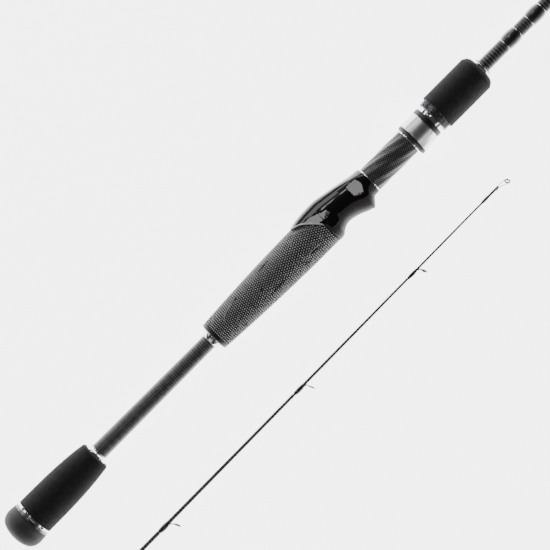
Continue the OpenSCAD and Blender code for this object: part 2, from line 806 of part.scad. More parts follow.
// Where the wraps over a guide's feet start and end
function wrap_spans(x, d, h) = concat(
    [[x - rear_reach(d, h) - wrap_length(d), x - rear_reach(d, h) - 0.35]],
    is_double(d) ? [[x + front_reach(h) + 0.35, x + front_reach(h) + wrap_length(d)]] : []);

wrap_cover = 0.18;              // how far a wrap stands over the foot it holds
function guide_at(i) = guide_spots[i] * section_length;

module tip_wraps(i) {
    d = guide_sizes[i];
    x = -guide_at(i);
    high = foot_thickness(d) + wrap_cover;
    for (w = wrap_spans(x, d, guide_heights[i]))
        difference() {
            on_tip_blank(wrap_side(w[0], w[1], tip_r(-w[0]), tip_r(-w[1]), 0.1, high));
            rotate([-guide_turns[i], 0, 0])
                guide_feet(x, guide_blank_r(i), d, guide_heights[i], 0);
        }
}

// Radius of the blank under a tip-section guide's rear foot, where it is thickest
function guide_blank_r(i) = tip_r(guide_at(i) + rear_reach(guide_sizes[i], guide_heights[i])
    + foot_length(guide_sizes[i]));

module tip_guide_frame(i) {
    lay_tip_section()
        guide_frame(-guide_at(i), guide_blank_r(i), guide_sizes[i], guide_heights[i],
            guide_lean, guide_turns[i]);
}

module tip_guide_ring(i) {
    lay_tip_section()
        guide_ring(-guide_at(i), guide_sizes[i], guide_heights[i], guide_lean, guide_turns[i]);
}

spigot_wrap_length = 14;
spigot_wrap_end = x_shoulder - 2;
spigot_wrap_start = spigot_wrap_end - spigot_wrap_length;
stripper_spot = spigot_wrap_start - 2 * band_length - stripper_gap - wrap_length(stripper_d)
    - front_reach(stripper_height);
stripper_blank_r = blank_r(stripper_spot - rear_reach(stripper_d, stripper_height)
    - foot_length(stripper_d));

module stripper_frame() {
    guide_frame(stripper_spot, stripper_blank_r, stripper_d, stripper_height, guide_lean, 0);
}

module stripper_ring() {
    guide_ring(stripper_spot, stripper_d, stripper_height, guide_lean, 0);
}

module stripper_wraps() {
    high = foot_thickness(stripper_d) + wrap_cover;
    color(black)
        for (w = wrap_spans(stripper_spot, stripper_d, stripper_height))
            difference() {
                on_blank(wrap_side(w[0], w[1], blank_r(w[0]), blank_r(w[1]), wrap_low, high));
                guide_feet(stripper_spot, stripper_blank_r, stripper_d, stripper_height, 0);
            }
}

module stripper_trim_bands() {
    spans = wrap_spans(stripper_spot, stripper_d, stripper_height);
    color(steel_color)
        for (x = [spans[0][0] - band_length, spans[1][1]])
            blank_band(x);
}

module spigot_wrap() {
    color(black) on_blank(wrap_side(spigot_wrap_start, spigot_wrap_end, blank_r(spigot_wrap_start),
        blank_r(spigot_wrap_end), wrap_low, 0.35));
}

module spigot_trim_bands() {
    color(steel_color)
        for (x = [spigot_wrap_start - band_length, spigot_wrap_end])
            blank_band(x);
}

// ---------------------------------------------------------------- tip section

tip_blank_end = 8.5;            // the blank ends this far short of the tip top's end
tip_bore_end = 320;             // the blank is solid from here to the tip

module tip_blank() {
    socket_end = ferrule_length - section_length;
    knots = [section_length, socket_shoulder + socket_ramp, socket_shoulder, tip_knee, tip_blank_end];
    color(carbon_color)
        lay_tip_section()
            difference() {
                turned(concat([for (s = knots) [-s, tip_r(s)]],
                    [[-tip_blank_end, 0], [-section_length, 0]]));
                tube(-section_length - 1, socket_end, socket_r, 0);
                turned([[socket_end - 1, 0], [socket_end - 1, socket_r - 0.7], [-tip_bore_end, 0.8],
                    [-tip_bore_end, 0]]);
            }
}

ferrule_wrap_length = 18;
ferrule_wrap_start = 0.6 - section_length;
ferrule_wrap_end = ferrule_wrap_start + ferrule_wrap_length;
module ferrule_wrap() {
    color(black)
        lay_tip_section()
            on_tip_blank(wrap_side(ferrule_wrap_start, ferrule_wrap_end, ferrule_r, ferrule_r, 0.1, 0.4));
}

module ferrule_trim_bands() {
    color(steel_color)
        lay_tip_section()
            for (x = [ferrule_wrap_start - band_length, ferrule_wrap_end])
                on_tip_blank([[x, ferrule_r + band_rise], [x + band_length, ferrule_r + band_rise]]);
}

module guide_wraps() {
    color(black)
        lay_tip_section()
            for (i = [0 : 5])
                tip_wraps(i);
}

module guide_trim_bands() {
    color(steel_color)
        lay_tip_section()
            for (i = [0 : 5]) {
                spans = wrap_spans(-guide_at(i), guide_sizes[i], guide_heights[i]);
                x = spans[0][0] - band_length;
                on_tip_blank([[x, tip_r(-x) + 0.12], [x + band_length, tip_r(-x) + 0.12]]);
            }
}

// Tip top: a tube over the blank's end, two wire arms and the ring's band
tube_length = 6.5;
tip_tube_wall = 0.25;
tip_top_x = -2;
tube_rear = -tip_blank_end - tube_length;
module tip_top_frame() {
    wire = frame_wall(tip_top_d) * 0.7;
    r = tip_r(-tube_rear);
    color(dark_metal)
        lay_tip_section()
            rotate([-tip_top_turn, 0, 0])
                difference() {
                    union() {
                        tube(tube_rear, -tip_blank_end + 0.6, r + tip_tube_wall, 0);
                        ring_place(tip_top_x, tip_top_height, 0, tip_top_lean)
                            tube(-frame_depth(tip_top_d) / 2, frame_depth(tip_top_d) / 2,
                                tip_top_d / 2, tip_top_d / 2 - frame_wall(tip_top_d));
                        for (side = [-1, 1])
                            strut([-tip_blank_end, -0.3, side * 0.35],
                                rim(tip_top_x, tip_top_height, tip_top_d, tip_top_lean, side * 80), wire);
                    }
                    tube(tube_rear - 1, -tip_blank_end, r, 0);
                }
}

module tip_top_ring() {
    color(ceramic_color)
        lay_tip_section()
            guide_ring(tip_top_x, tip_top_d, tip_top_height, tip_top_lean, tip_top_turn);
}

module tip_top_wrap() {
    x1 = tube_rear;
    x0 = x1 - 8;
    color(black)
        lay_tip_section()
            on_tip_blank(wrap_side(x0, x1, tip_r(-x0), tip_r(-x1), 0.1, 0.4));
}

butt_cap();
butt_cap_ring();
butt_trim_ring();
butt_grip();
butt_winding_check();
butt_blank();
rear_grip_check();
rear_grip_end_cap();
rear_grip_core();
rear_grip_sleeve();
reel_seat_core();
reel_seat_body();
reel_seat_shell();
seat_arbor_rear();
seat_arbor_front();
seat_rear_trim();
seat_barrel();
barrel_end_ring();
seat_thread();
hook_keeper();
keeper_wrap_rear();
keeper_wrap_front();
keeper_trim_bands();
stripper_frame();
stripper_ring();
stripper_wraps();
stripper_trim_bands();
spigot_wrap();
spigot_trim_bands();
hood_liner();
hood_sleeve();
nut_collar();
nut_neck_ring();
lock_nut();
nut_insert();
foregrip_trim_ring();
foregrip();
foregrip_check();
foregrip_seal();
tip_blank();
ferrule_wrap();
ferrule_trim_bands();
tip_guide_frame(0);  // guide_frame_1
tip_guide_frame(1);  // guide_frame_2
tip_guide_frame(2);  // guide_frame_3
tip_guide_frame(3);  // guide_frame_4
tip_guide_frame(4);  // guide_frame_5
tip_guide_frame(5);  // guide_frame_6
tip_guide_ring(0);  // guide_ring_1
tip_guide_ring(1);  // guide_ring_2
tip_guide_ring(2);  // guide_ring_3
tip_guide_ring(3);  // guide_ring_4
tip_guide_ring(4);  // guide_ring_5
tip_guide_ring(5);  // guide_ring_6
guide_wraps();
guide_trim_bands();
tip_top_frame();
tip_top_ring();
tip_top_wrap();
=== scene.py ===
"""Looks of a two-piece spinning rod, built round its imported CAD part.

Metres. +X runs from the butt to the tip, +Z is up, and the reel side faces -Y.
"""

import json
from functools import lru_cache
from math import acos, atan2, copysign, cos, dist, exp, hypot, pi, radians, sin

import bpy
import numpy as np
from mathutils import Matrix, Vector


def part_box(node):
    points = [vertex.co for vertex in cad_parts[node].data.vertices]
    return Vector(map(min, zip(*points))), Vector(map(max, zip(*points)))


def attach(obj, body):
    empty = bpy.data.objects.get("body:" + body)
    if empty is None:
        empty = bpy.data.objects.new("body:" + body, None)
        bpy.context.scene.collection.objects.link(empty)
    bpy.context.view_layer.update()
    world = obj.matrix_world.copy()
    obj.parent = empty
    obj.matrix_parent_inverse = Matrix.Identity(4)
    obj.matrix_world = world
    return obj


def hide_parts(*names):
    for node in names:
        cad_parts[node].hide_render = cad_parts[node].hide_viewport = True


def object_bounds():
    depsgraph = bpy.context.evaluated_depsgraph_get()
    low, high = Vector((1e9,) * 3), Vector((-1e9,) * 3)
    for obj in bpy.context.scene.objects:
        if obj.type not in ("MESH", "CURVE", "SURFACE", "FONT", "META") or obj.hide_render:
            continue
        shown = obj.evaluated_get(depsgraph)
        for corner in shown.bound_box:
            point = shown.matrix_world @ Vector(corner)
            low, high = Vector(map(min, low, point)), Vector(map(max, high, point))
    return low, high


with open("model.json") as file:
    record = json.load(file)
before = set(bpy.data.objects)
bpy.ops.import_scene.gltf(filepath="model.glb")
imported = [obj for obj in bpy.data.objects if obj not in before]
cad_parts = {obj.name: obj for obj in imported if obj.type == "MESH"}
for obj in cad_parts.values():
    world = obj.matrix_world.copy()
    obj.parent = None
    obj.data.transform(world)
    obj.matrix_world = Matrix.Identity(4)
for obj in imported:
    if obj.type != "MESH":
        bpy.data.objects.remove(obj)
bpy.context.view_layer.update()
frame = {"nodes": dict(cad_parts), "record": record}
scene = bpy.context.scene
MM = 0.001
bodies = {node: body for body, nodes in frame["record"]["behaviour"]["bodies"].items() for node in nodes}

# ---- camera


def placed(name, data):
    obj = bpy.data.objects.new(name, data)
    scene.collection.objects.link(obj)
    return obj


scene.camera = camera = placed("camera", bpy.data.cameras.new("camera"))
camera.data.sensor_width = 36
camera.data.lens = 158.4
camera.data.clip_start, camera.data.clip_end = 0.05, 20
camera.location = (0.2295, 0.0001, 1.5)
camera.rotation_euler = (0, 0, radians(-45.11))

# ---- sizes from the frame

mounts = {m["name"]: m for m in frame["record"]["mounts"]}
socket = mounts["ferrule_socket"]
BUTT_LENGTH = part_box("butt_blank")[1].x
along = -Vector(socket["axis"])
mouth = Vector(socket["pos_m"]) - along * socket["dims"]["length_mm"] * MM / 2
tip_end = mouth + along * BUTT_LENGTH
TO_TIP = Matrix.Translation(tip_end) @ Matrix.Rotation(atan2(along.y, along.x), 4, "Z")
# The frame that each node is measured and made in: its section's axis is X
home = {node: TO_TIP if body == "tip_section" else Matrix.Identity(4) for node, body in bodies.items()}
SAME_STATION = 0.02 * MM


def points_of(node, place=None):
    """The node's vertices, measured in a placed frame."""
    co = np.empty(len(frame["nodes"][node].data.vertices) * 3)
    frame["nodes"][node].data.vertices.foreach_get("co", co)
    m = np.array((place or home[node]).inverted())
    return co.reshape(-1, 3) @ m[:3, :3].T + m[:3, 3]


@lru_cache(maxsize=None)
def side_of(node):
    """Outer and inner radius at each station on the outside of a turned node: a list of (x, outer, inner)."""
    co = points_of(node)
    r = np.hypot(co[:, 1], co[:, 2])
    mesh = frame["nodes"][node].data
    mesh.calc_loop_triangles()
    ids = np.empty(len(mesh.loop_triangles) * 3, np.int32)
    mesh.loop_triangles.foreach_get("vertices", ids)
    ids = ids.reshape(-1, 3)
    a, b, c = co[ids[:, 0]], co[ids[:, 1]], co[ids[:, 2]]
    normal = np.cross(b - a, c - a)
    middle = (a + b + c)[:, 1:]
    facing = (normal[:, 1:] * middle).sum(1)
    size = np.linalg.norm(normal, axis=1) * np.linalg.norm(middle, axis=1)
    outside = set(np.round(co[ids[facing > 0.02 * size].ravel(), 0] / SAME_STATION).astype(int).tolist())
    found = {}
    for x, radius in zip(co[:, 0], r):
        found.setdefault(round(x / SAME_STATION), []).append((x, radius))
    return [
        (rows[0][0], max(q for _, q in rows), min(q for _, q in rows))
        for key, rows in sorted(found.items()) if key in outside
    ]


def span(node):
    co = points_of(node)
    return co[:, 0].min(), co[:, 0].max()


def radius_at(side):
    """A function that gives the outer radius along the stations of side_of()."""
    return lambda x: float(np.interp(x, [q[0] for q in side], [q[1] for q in side]))


def ring_of(node):
    """Centre, axis, outer radius, bore radius and half-depth of a ring node."""
    co = points_of(node)
    centre = (co.min(0) + co.max(0)) / 2
    flat = co - centre
    axis = np.linalg.svd(flat, full_matrices=False)[2][2]
    axis = axis * np.sign(axis[0])
    depth = flat @ axis
    r = np.linalg.norm(flat - np.outer(depth, axis), axis=1)
    return centre, axis, r.max(), r.min(), np.abs(depth).max()


# ---- mesh helpers


def add(name, verts, faces, material, node, uv=None, place=None, sharp=32, replaces=True):
    """A smooth-shaded piece with a CAD node's body, which replaces the node or lies over it.
    uv is one pair for each vertex of each face."""
    mesh = bpy.data.meshes.new(name)
    m = np.array(place or home[node])
    verts = np.asarray(verts, float) @ m[:3, :3].T + m[:3, 3]
    mesh.from_pydata([tuple(v) for v in verts], [], [tuple(int(i) for i in f) for f in faces])
    if uv is not None:
        layer = mesh.uv_layers.new(name="UVMap")
        layer.data.foreach_set("uv", np.asarray(uv, np.float32).ravel())
    mesh.materials.append(M[material])
    mesh.polygons.foreach_set("use_smooth", np.ones(len(mesh.polygons), bool))
    if sharp:
        mesh.set_sharp_from_angle(angle=radians(sharp))
    mesh.update()
    obj = placed(name, mesh)
    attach(obj, bodies[node])
    if replaces:
        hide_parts(node)
    return obj


def turned(x, r, a):
    """The point at radius r and angle a round X, from -Y."""
    return x, -r * cos(a), r * sin(a)


def circle(x, r, seg):
    return [turned(x, r, 2 * pi * k / seg) for k in range(seg)]


def grid(n, m, wrap_rows=False, wrap_cols=True):
    """Faces and face uvs of a grid of n rows with m points each; u counts rows and v is 0 to 1 across."""
    faces, uv = [], []
    for i in range(n if wrap_rows else n - 1):
        for k in range(m if wrap_cols else m - 1):
            a, b = i * m + k, i * m + (k + 1) % m
            c, d = ((i + 1) % n) * m + (k + 1) % m, ((i + 1) % n) * m + k
            faces.append((a, b, c, d))
            v0, v1 = (k / m, (k + 1) / m) if wrap_cols else (k / (m - 1), (k + 1) / (m - 1))
            uv += [(i, v0), (i, v1), (i + 1, v1), (i + 1, v0)]
    return faces, uv


def curve(points, n=6):
    """A smooth curve through points of any dimension."""
    p = [np.asarray(q, float) for q in points]
    out = []
    for i in range(len(p) - 1):
        a, b, c, d = p[max(i - 1, 0)], p[i], p[i + 1], p[min(i + 2, len(p) - 1)]
        for k in range(n):
            t = k / n
            out.append(b + (c - a) * t / 2 + (2 * a - 5 * b + 4 * c - d) * t * t / 2
                       + (3 * b - a - 3 * c + d) * t**3 / 2)
    return out + [p[-1]]


SHARP_TURN = radians(18)


def eased(outline, r, n=4):
    """A closed outline with its corners rounded over a length r."""
    p = [np.asarray(q, float) for q in outline]
    out = []
    for i, q in enumerate(p):
        a, b = p[i - 1] - q, p[(i + 1) % len(p)] - q
        la, lb = np.linalg.norm(a), np.linalg.norm(b)
        turn = pi - acos(max(-1, min(1, float(a @ b) / max(la * lb, 1e-18))))
        cut = min(r, 0.42 * la, 0.42 * lb)
        if turn < SHARP_TURN or cut < 1e-6 or q[1] < 1e-6:
            out.append(q)
            continue
        s, e = q + a / la * cut, q + b / lb * cut
        for k in range(n + 1):
            t = k / n
            out.append(s * (1 - t) ** 2 + q * 2 * t * (1 - t) + e * t * t)
    return out


def lathe(name, outline, material, node, seg=96, sharp=32, bend=None, replaces=True):
    """Turns an outline of (x, radius) about X. The uv is millimetres along the outline, and turns.
    bend(x, angle, r) gives the radius at a point, for ribs and knurls."""
    p = [(float(x), max(float(r), 0.0)) for x, r in outline]
    n = len(p)
    angle = np.arange(seg) * 2 * pi / seg
    verts = []
    for x, r in p:
        rr = np.full(seg, r) if bend is None else np.array([bend(x, a, r) for a in angle])
        verts += [turned(x, q, a) for q, a in zip(rr, angle)]
    faces, uv = grid(n, seg, wrap_rows=True)
    length = [0.0]
    for i in range(n):
        a, b = p[i], p[(i + 1) % n]
        length.append(length[-1] + dist(a, b) * 1000)
    uv = [(length[int(u)], v) for u, v in uv]
    return add(name, verts, faces, material, node, uv, sharp=sharp, replaces=replaces)


def turned_like(name, node, material, ease=0.25, smooth=0, seg=96):
    """The turned CAD node again, rounder and with eased edges."""
    side = side_of(node)
    outer = [(x, o) for x, o, _ in side]
    if smooth:
        outer = [tuple(q) for q in curve(outer, smooth)]
    outline = outer + [(side[-1][0], side[-1][2]), (side[0][0], side[0][2])]
    return lathe(name, eased(outline, ease * MM), material, node, seg)


def capped(n, sides):
    """Faces of a closed bar of n rows."""
    faces, _ = grid(n, sides)
    return faces + [tuple(range(sides - 1, -1, -1)), tuple((n - 1) * sides + k for k in range(sides))]


def sweep(path, radius, sides=10, taper=None):
    """Vertices and faces of a round wire along a path, with closed ends."""
    p = [np.asarray(q, float) for q in path]
    n = len(p)
    tangent = [p[min(i + 1, n - 1)] - p[max(i - 1, 0)] for i in range(n)]
    tangent = [t / np.linalg.norm(t) for t in tangent]
    up = np.cross(tangent[0], [0.3, 0.5, 0.8])
    up /= np.linalg.norm(up)
    verts = []
    for i in range(n):
        up = up - tangent[i] * (up @ tangent[i])
        up /= np.linalg.norm(up)
        side = np.cross(tangent[i], up)
        r = radius * (1 if taper is None else taper(i / (n - 1)))
        verts += [p[i] + r * (cos(a) * up + sin(a) * side)
                  for a in [2 * pi * k / sides for k in range(sides)]]
    return verts, capped(n, sides)


def joined(parts):
    """Several (verts, faces) as one."""
    verts, faces = [], []
    for v, f in parts:
        base = len(verts)
        verts += list(v)
        faces += [tuple(i + base for i in q) for q in f]
    return verts, faces


def torus_of(centre, axis, outline, seg=56):
    """A ring about any axis, from a closed outline of (depth, radius)."""
    axis = axis / np.linalg.norm(axis)
    e1 = np.cross(axis, [0, 0, 1.0])
    e1 /= np.linalg.norm(e1)
    e2 = np.cross(axis, e1)
    verts = []
    for depth, r in outline:
        for k in range(seg):
            a = 2 * pi * k / seg
            verts.append(centre + axis * depth + r * (cos(a) * e1 + sin(a) * e2))
    faces, _ = grid(len(outline), seg, wrap_rows=True)
    return verts, faces


# ---- materials


class Shader:
    """A small writer of node trees."""

    def __init__(self, name, color, rough=0.5, metal=0.0, coat=0.0, coat_rough=0.05, specular=0.5):
        self.mat = bpy.data.materials.new(name)
        self.mat.use_nodes = True
        self.tree = self.mat.node_tree
        self.bsdf = self.tree.nodes["Principled BSDF"]
        self.set("Base Color", (*color, 1))
        self.set("Roughness", rough)
        self.set("Metallic", metal)
        self.set("Coat Weight", coat)
        self.set("Coat Roughness", coat_rough)
        self.set("Specular IOR Level", specular)

    def set(self, key, value):
        self.bsdf.inputs[key].default_value = value

    def node(self, kind, **values):
        made = self.tree.nodes.new("ShaderNode" + kind)
        for key, value in values.items():
            if key in made.inputs:
                self.feed(made.inputs[key], value)
            else:
                setattr(made, key, value)
        return made

    def feed(self, socket_in, value):
        if hasattr(value, "is_output"):
            self.tree.links.new(value, socket_in)
        else:
            socket_in.default_value = value

    def math(self, operation, a, b=0.0, c=0.0):
        made = self.node("Math", operation=operation)
        for socket_in, value in zip(made.inputs, (a, b, c)):
            self.feed(socket_in, value)
        return made.outputs[0]

    def uv(self):
        """Millimetres along, and turns round."""
        made = self.node("SeparateXYZ")
        self.tree.links.new(self.node("UVMap").outputs[0], made.inputs[0])
        return made.outputs[0], made.outputs[1]

    def place(self):
        return self.node("TexCoord").outputs["Object"]

    def joined(self, x, y, z=0.0):
        made = self.node("CombineXYZ")
        for socket_in, value in zip(made.inputs, (x, y, z)):
            self.feed(socket_in, value)
        return made.outputs[0]

    def noise(self, scale, vector=None, detail=3.0, rough=0.55):
        made = self.node("TexNoise", Scale=scale, Detail=detail, Roughness=rough)
        self.tree.links.new(vector or self.place(), made.inputs["Vector"])
        return made.outputs["Fac"]

    def voronoi(self, scale):
        made = self.node("TexVoronoi", Scale=scale)
        self.tree.links.new(self.place(), made.inputs["Vector"])
        return made.outputs["Distance"]

    def ramp(self, value, stops):
        made = self.node("ValToRGB")
        self.tree.links.new(value, made.inputs[0])
        ramp = made.color_ramp
        while len(ramp.elements) < len(stops):
            ramp.elements.new(0.5)
        for element, (at, shade) in zip(ramp.elements, stops):
            element.position = at
            element.color = (*shade, 1)
        return made.outputs[0]

    def color(self, out):
        self.tree.links.new(out, self.bsdf.inputs["Base Color"])
        return self

    def rough(self, out, low, high):
        made = self.node("MapRange")
        self.tree.links.new(out, made.inputs[0])
        made.inputs[3].default_value, made.inputs[4].default_value = low, high
        self.tree.links.new(made.outputs[0], self.bsdf.inputs["Roughness"])
        return self

    def bump(self, height, strength, distance):
        made = self.node("Bump", Strength=strength, Distance=distance)
        self.tree.links.new(height, made.inputs["Height"])
        self.tree.links.new(made.outputs[0], self.bsdf.inputs["Normal"])
        return self


def foam(name, dark, light):
    s = Shader(name, dark, rough=0.9, specular=0.25)
    cells = s.voronoi(2600)
    mottle = s.noise(240, detail=4.0, rough=0.7)
    s.color(s.ramp(s.math("MULTIPLY_ADD", cells, 0.35, s.math("MULTIPLY", mottle, 0.7)),
                   [(0.25, dark), (0.75, light)]))
    s.rough(mottle, 0.82, 0.97)
    return s.bump(s.math("MULTIPLY_ADD", mottle, 0.6, cells), 0.5, 0.00018).mat


def metal(name, color, rough):
    """Metal turned on a lathe: faint circles round the axis."""
    s = Shader(name, color, rough=rough, metal=1.0)
    u, v = s.uv()
    circles = s.noise(6.0, s.joined(u, s.math("MULTIPLY", v, 0.6)), detail=4.0)
    s.rough(circles, max(0.03, rough - 0.06), rough + 0.08)
    return s.bump(circles, 0.05, 0.00006).mat


def cap_rubber():
    s = Shader("cap_rubber", (0.05, 0.05, 0.052), rough=0.7, specular=0.35)
    grain = s.noise(1500, detail=5.0, rough=0.75)
    s.color(s.ramp(grain, [(0.3, (0.036, 0.036, 0.038)), (0.75, (0.075, 0.075, 0.078))]))
    return s.rough(grain, 0.6, 0.85).bump(grain, 0.35, 0.00012).mat


def wound_blank(name, low, high, pitch, lean, counts, contrast):
    """Blank rolled from carbon tape: fine rings, with two sets of crossing strands under a clear coat."""
    s = Shader(name, low, rough=0.45, coat=0.2, coat_rough=0.15, specular=0.3)
    u, v = s.uv()
    rings = s.math("SINE", s.math("MULTIPLY", u, 2 * pi / pitch))
    lines = []
    for side in (1, -1):
        phase = s.math("MULTIPLY_ADD", v, counts * 2 * pi, s.math("MULTIPLY", u, side * lean))
        lines.append(s.math("SINE", phase))
    cross = s.math("MULTIPLY", lines[0], lines[1])
    grain_at = s.joined(s.math("MULTIPLY", u, 1.7), s.math("MULTIPLY", v, 26.0))
    grain = s.noise(1.0, grain_at, detail=5.0, rough=0.7)
    mottle = s.noise(0.35, s.joined(u, s.math("MULTIPLY", v, 9.0)), detail=3.0)
    mix = s.math("MULTIPLY_ADD", cross, contrast, s.math("MULTIPLY_ADD", rings, 0.13, grain))
    mix = s.math("MULTIPLY_ADD", mottle, 0.5, s.math("SUBTRACT", mix, 0.25))
    s.color(s.ramp(mix, [(0.22, low), (0.78, high)]))
    s.rough(grain, 0.26, 0.5)
    return s.bump(mix, 0.25, 0.00008).mat


def twill():
    """The barrel's carbon cloth: small stitches in rows that follow the ribs."""
    s = Shader("barrel_carbon", (0.1, 0.1, 0.105), rough=0.45, coat=0.15, coat_rough=0.2, specular=0.3)
    u, v = s.uv()
    turn = s.math("MULTIPLY_ADD", v, 30.0, s.math("MULTIPLY", u, 0.2))
    run = s.math("MULTIPLY_ADD", u, 0.6, s.math("MULTIPLY", v, -10.0))
    a = s.math("SINE", s.math("MULTIPLY", turn, 2 * pi))
    b = s.math("SINE", s.math("MULTIPLY", run, 2 * pi))
    stitch = s.math("MULTIPLY", a, b)
    grain = s.noise(1.2, s.joined(s.math("MULTIPLY", u, 2.0), s.math("MULTIPLY", v, 40.0)), detail=4.0)
    mix = s.math("MULTIPLY_ADD", stitch, 0.5, grain)
    s.color(s.ramp(mix, [(0.2, (0.006, 0.006, 0.007)), (0.55, (0.045, 0.045, 0.047)),
                         (0.9, (0.2, 0.2, 0.205))]))
    return s.bump(mix, 0.3, 0.0001).mat


def under_epoxy(name, color, glow):
    """Thread under a smooth coat of epoxy."""
    s = Shader(name, color, rough=0.42, coat=1.0, coat_rough=0.02)
    u, v = s.uv()
    thread = s.math("SINE", s.math("MULTIPLY", u, 2 * pi / 0.22))
    slub = s.noise(2.0, s.joined(s.math("MULTIPLY", u, 3.0), s.math("MULTIPLY", v, 12.0)))
    s.color(s.ramp(s.math("MULTIPLY_ADD", thread, 0.2, slub), [(0.2, color), (0.9, glow)]))
    return s.bump(thread, 0.25, 0.00004).mat


def metal_thread():
    s = Shader("trim_band", (0.7, 0.7, 0.72), rough=0.22, metal=1.0, coat=0.6, coat_rough=0.03)
    u, _ = s.uv()
    thread = s.math("SINE", s.math("MULTIPLY", u, 2 * pi / 0.17))
    return s.bump(s.math("MULTIPLY_ADD", thread, 0.5, s.noise(900)), 0.3, 0.00004).mat


def rubber_skin(name, low, high, rough):
    s = Shader(name, low, rough=rough, specular=0.2)
    grain = s.noise(900, detail=4.0, rough=0.7)
    s.color(s.ramp(grain, [(0.3, low), (0.8, high)]))
    return s.rough(grain, rough - 0.08, rough + 0.1).bump(grain, 0.25, 0.00006).mat


def lacquer():
    s = Shader("seat_gloss", (0.006, 0.006, 0.007), rough=0.3, coat=0.75, coat_rough=0.015, specular=0.15)
    flow = s.noise(70, detail=1.0)
    return s.bump(flow, 0.04, 0.0003).mat


def satin_plastic():
    s = Shader("seat_satin", (0.055, 0.05, 0.05), rough=0.5, specular=0.25)
    grain = s.noise(1800, detail=4.0, rough=0.7)
    broad = s.noise(90, detail=2.0)
    s.color(s.ramp(broad, [(0.3, (0.045, 0.041, 0.042)), (0.75, (0.075, 0.069, 0.068))]))
    return s.rough(grain, 0.42, 0.6).bump(grain, 0.15, 0.00005).mat


def brushed():
    s = Shader("brushed_metal", (0.78, 0.78, 0.79), rough=0.3, metal=1.0)
    u, v = s.uv()
    lines = s.noise(9.0, s.joined(u, s.math("MULTIPLY", v, 1.5)), detail=6.0, rough=0.75)
    s.color(s.ramp(lines, [(0.3, (0.66, 0.66, 0.67)), (0.7, (0.85, 0.85, 0.86))]))
    return s.rough(lines, 0.24, 0.42).bump(lines, 0.12, 0.00006).mat


def black_part():
    s = Shader("black_plastic", (0.014, 0.014, 0.015), rough=0.42, specular=0.5)
    grain = s.noise(1400, detail=3.0)
    return s.rough(grain, 0.34, 0.52).bump(grain, 0.12, 0.00005).mat


def ceramic():
    s = Shader("guide_ceramic", (0.03, 0.03, 0.034), rough=0.12, coat=0.8, coat_rough=0.02)
    grain = s.noise(500, detail=2.0)
    return s.rough(grain, 0.08, 0.18).mat


def arbor_foam():
    s = Shader("arbor", (0.25, 0.24, 0.22), rough=0.9)
    cells = s.voronoi(1500)
    s.color(s.ramp(cells, [(0.1, (0.2, 0.19, 0.17)), (0.6, (0.32, 0.3, 0.27))]))
    return s.bump(cells, 0.4, 0.0002).mat


M = {
    "cap": cap_rubber(),
    "foam": foam("eva_foam", (0.010, 0.010, 0.011), (0.03, 0.03, 0.032)),
    "foam_front": foam("eva_foam_front", (0.013, 0.013, 0.014), (0.036, 0.036, 0.038)),
    "dark_metal": metal("dark_metal", (0.16, 0.16, 0.17), 0.3),
    "chrome": metal("polished_metal", (0.82, 0.82, 0.84), 0.12),
    "brushed": brushed(),
    "blank": wound_blank("blank_carbon", (0.012, 0.012, 0.013), (0.17, 0.17, 0.176), 1.3, 1.9, 16, 0.3),
    "blank_front": wound_blank("blank_carbon_front", (0.012, 0.012, 0.013), (0.15, 0.15, 0.156),
                               2.2, 1.5, 10, 0.5),
    "black": black_part(),
    "skin": rubber_skin("sleeve_texture", (0.006, 0.006, 0.007), (0.014, 0.014, 0.015), 0.65),
    "dot": rubber_skin("sleeve_dots", (0.42, 0.42, 0.425), (0.66, 0.66, 0.67), 0.5),
    "arc": rubber_skin("sleeve_arcs", (0.3, 0.3, 0.305), (0.42, 0.42, 0.43), 0.4),
    # rim: a light grey painted highlight, in place of the reflection along the gloss shell's rear edge
    "rim": rubber_skin("seat_rim_painted_highlight", (0.55, 0.55, 0.555), (0.75, 0.75, 0.755), 0.25),
    "gloss": lacquer(),
    "satin": satin_plastic(),
    "twill": twill(),
    "epoxy": under_epoxy("wrap_epoxy", (0.006, 0.006, 0.007), (0.02, 0.02, 0.021)),
    "trim": metal_thread(),
    "guide": metal("guide_metal", (0.13, 0.13, 0.135), 0.22),
    "ceramic": ceramic(),
    "arbor": arbor_foam(),
}

# ---- butt end

turned_like("butt_cap_skin", "butt_cap", "cap", ease=0.8, smooth=4, seg=128)
turned_like("butt_dark_ring", "butt_cap_ring", "dark_metal", seg=128)
turned_like("butt_bright_ring", "butt_trim_ring", "chrome", seg=128)
turned_like("butt_grip_foam", "butt_grip", "foam", ease=0.5, smooth=5, seg=160)
turned_like("butt_check_cone", "butt_winding_check", "chrome", ease=0.35)

# The butt blank, with a rounded spigot end; its carbon pattern is coarser in front of the foregrip
blank_side = side_of("butt_blank")
blank_radius = radius_at(blank_side)
x_split = span("foregrip")[0] + 0.012
x_first, x_last = blank_side[0][0], blank_side[-1][0]
bore = blank_side[-1][2]
rear_x = [x_first] + [q[0] for q in blank_side if x_first < q[0] < x_split] + [x_split]
lathe("butt_blank_rear", [(x, blank_radius(x)) for x in rear_x] + [(x_split, bore), (x_first, bore)],
      "blank", "butt_blank", replaces=False)
front_x = [x_split] + [q[0] for q in blank_side if x_split < q[0] < x_last] + [x_last]
lathe("butt_blank_front", eased([(x, blank_radius(x)) for x in front_x] + [(x_last, bore), (x_split, bore)],
      0.3 * MM), "blank_front", "butt_blank")

# ---- middle grip

turned_like("grip_check_rings", "rear_grip_check", "chrome", ease=0.2)
turned_like("grip_end_cap", "rear_grip_end_cap", "black", ease=0.3, smooth=3, seg=128)

x_sleeve = span("rear_grip_sleeve")[0]
cone = [(x, o) for x, o, _ in side_of("rear_grip_sleeve") if x < span("reel_seat_shell")[0]]
sleeve_radius = radius_at(cone)
R_GRIP = max(o for _, o in cone)

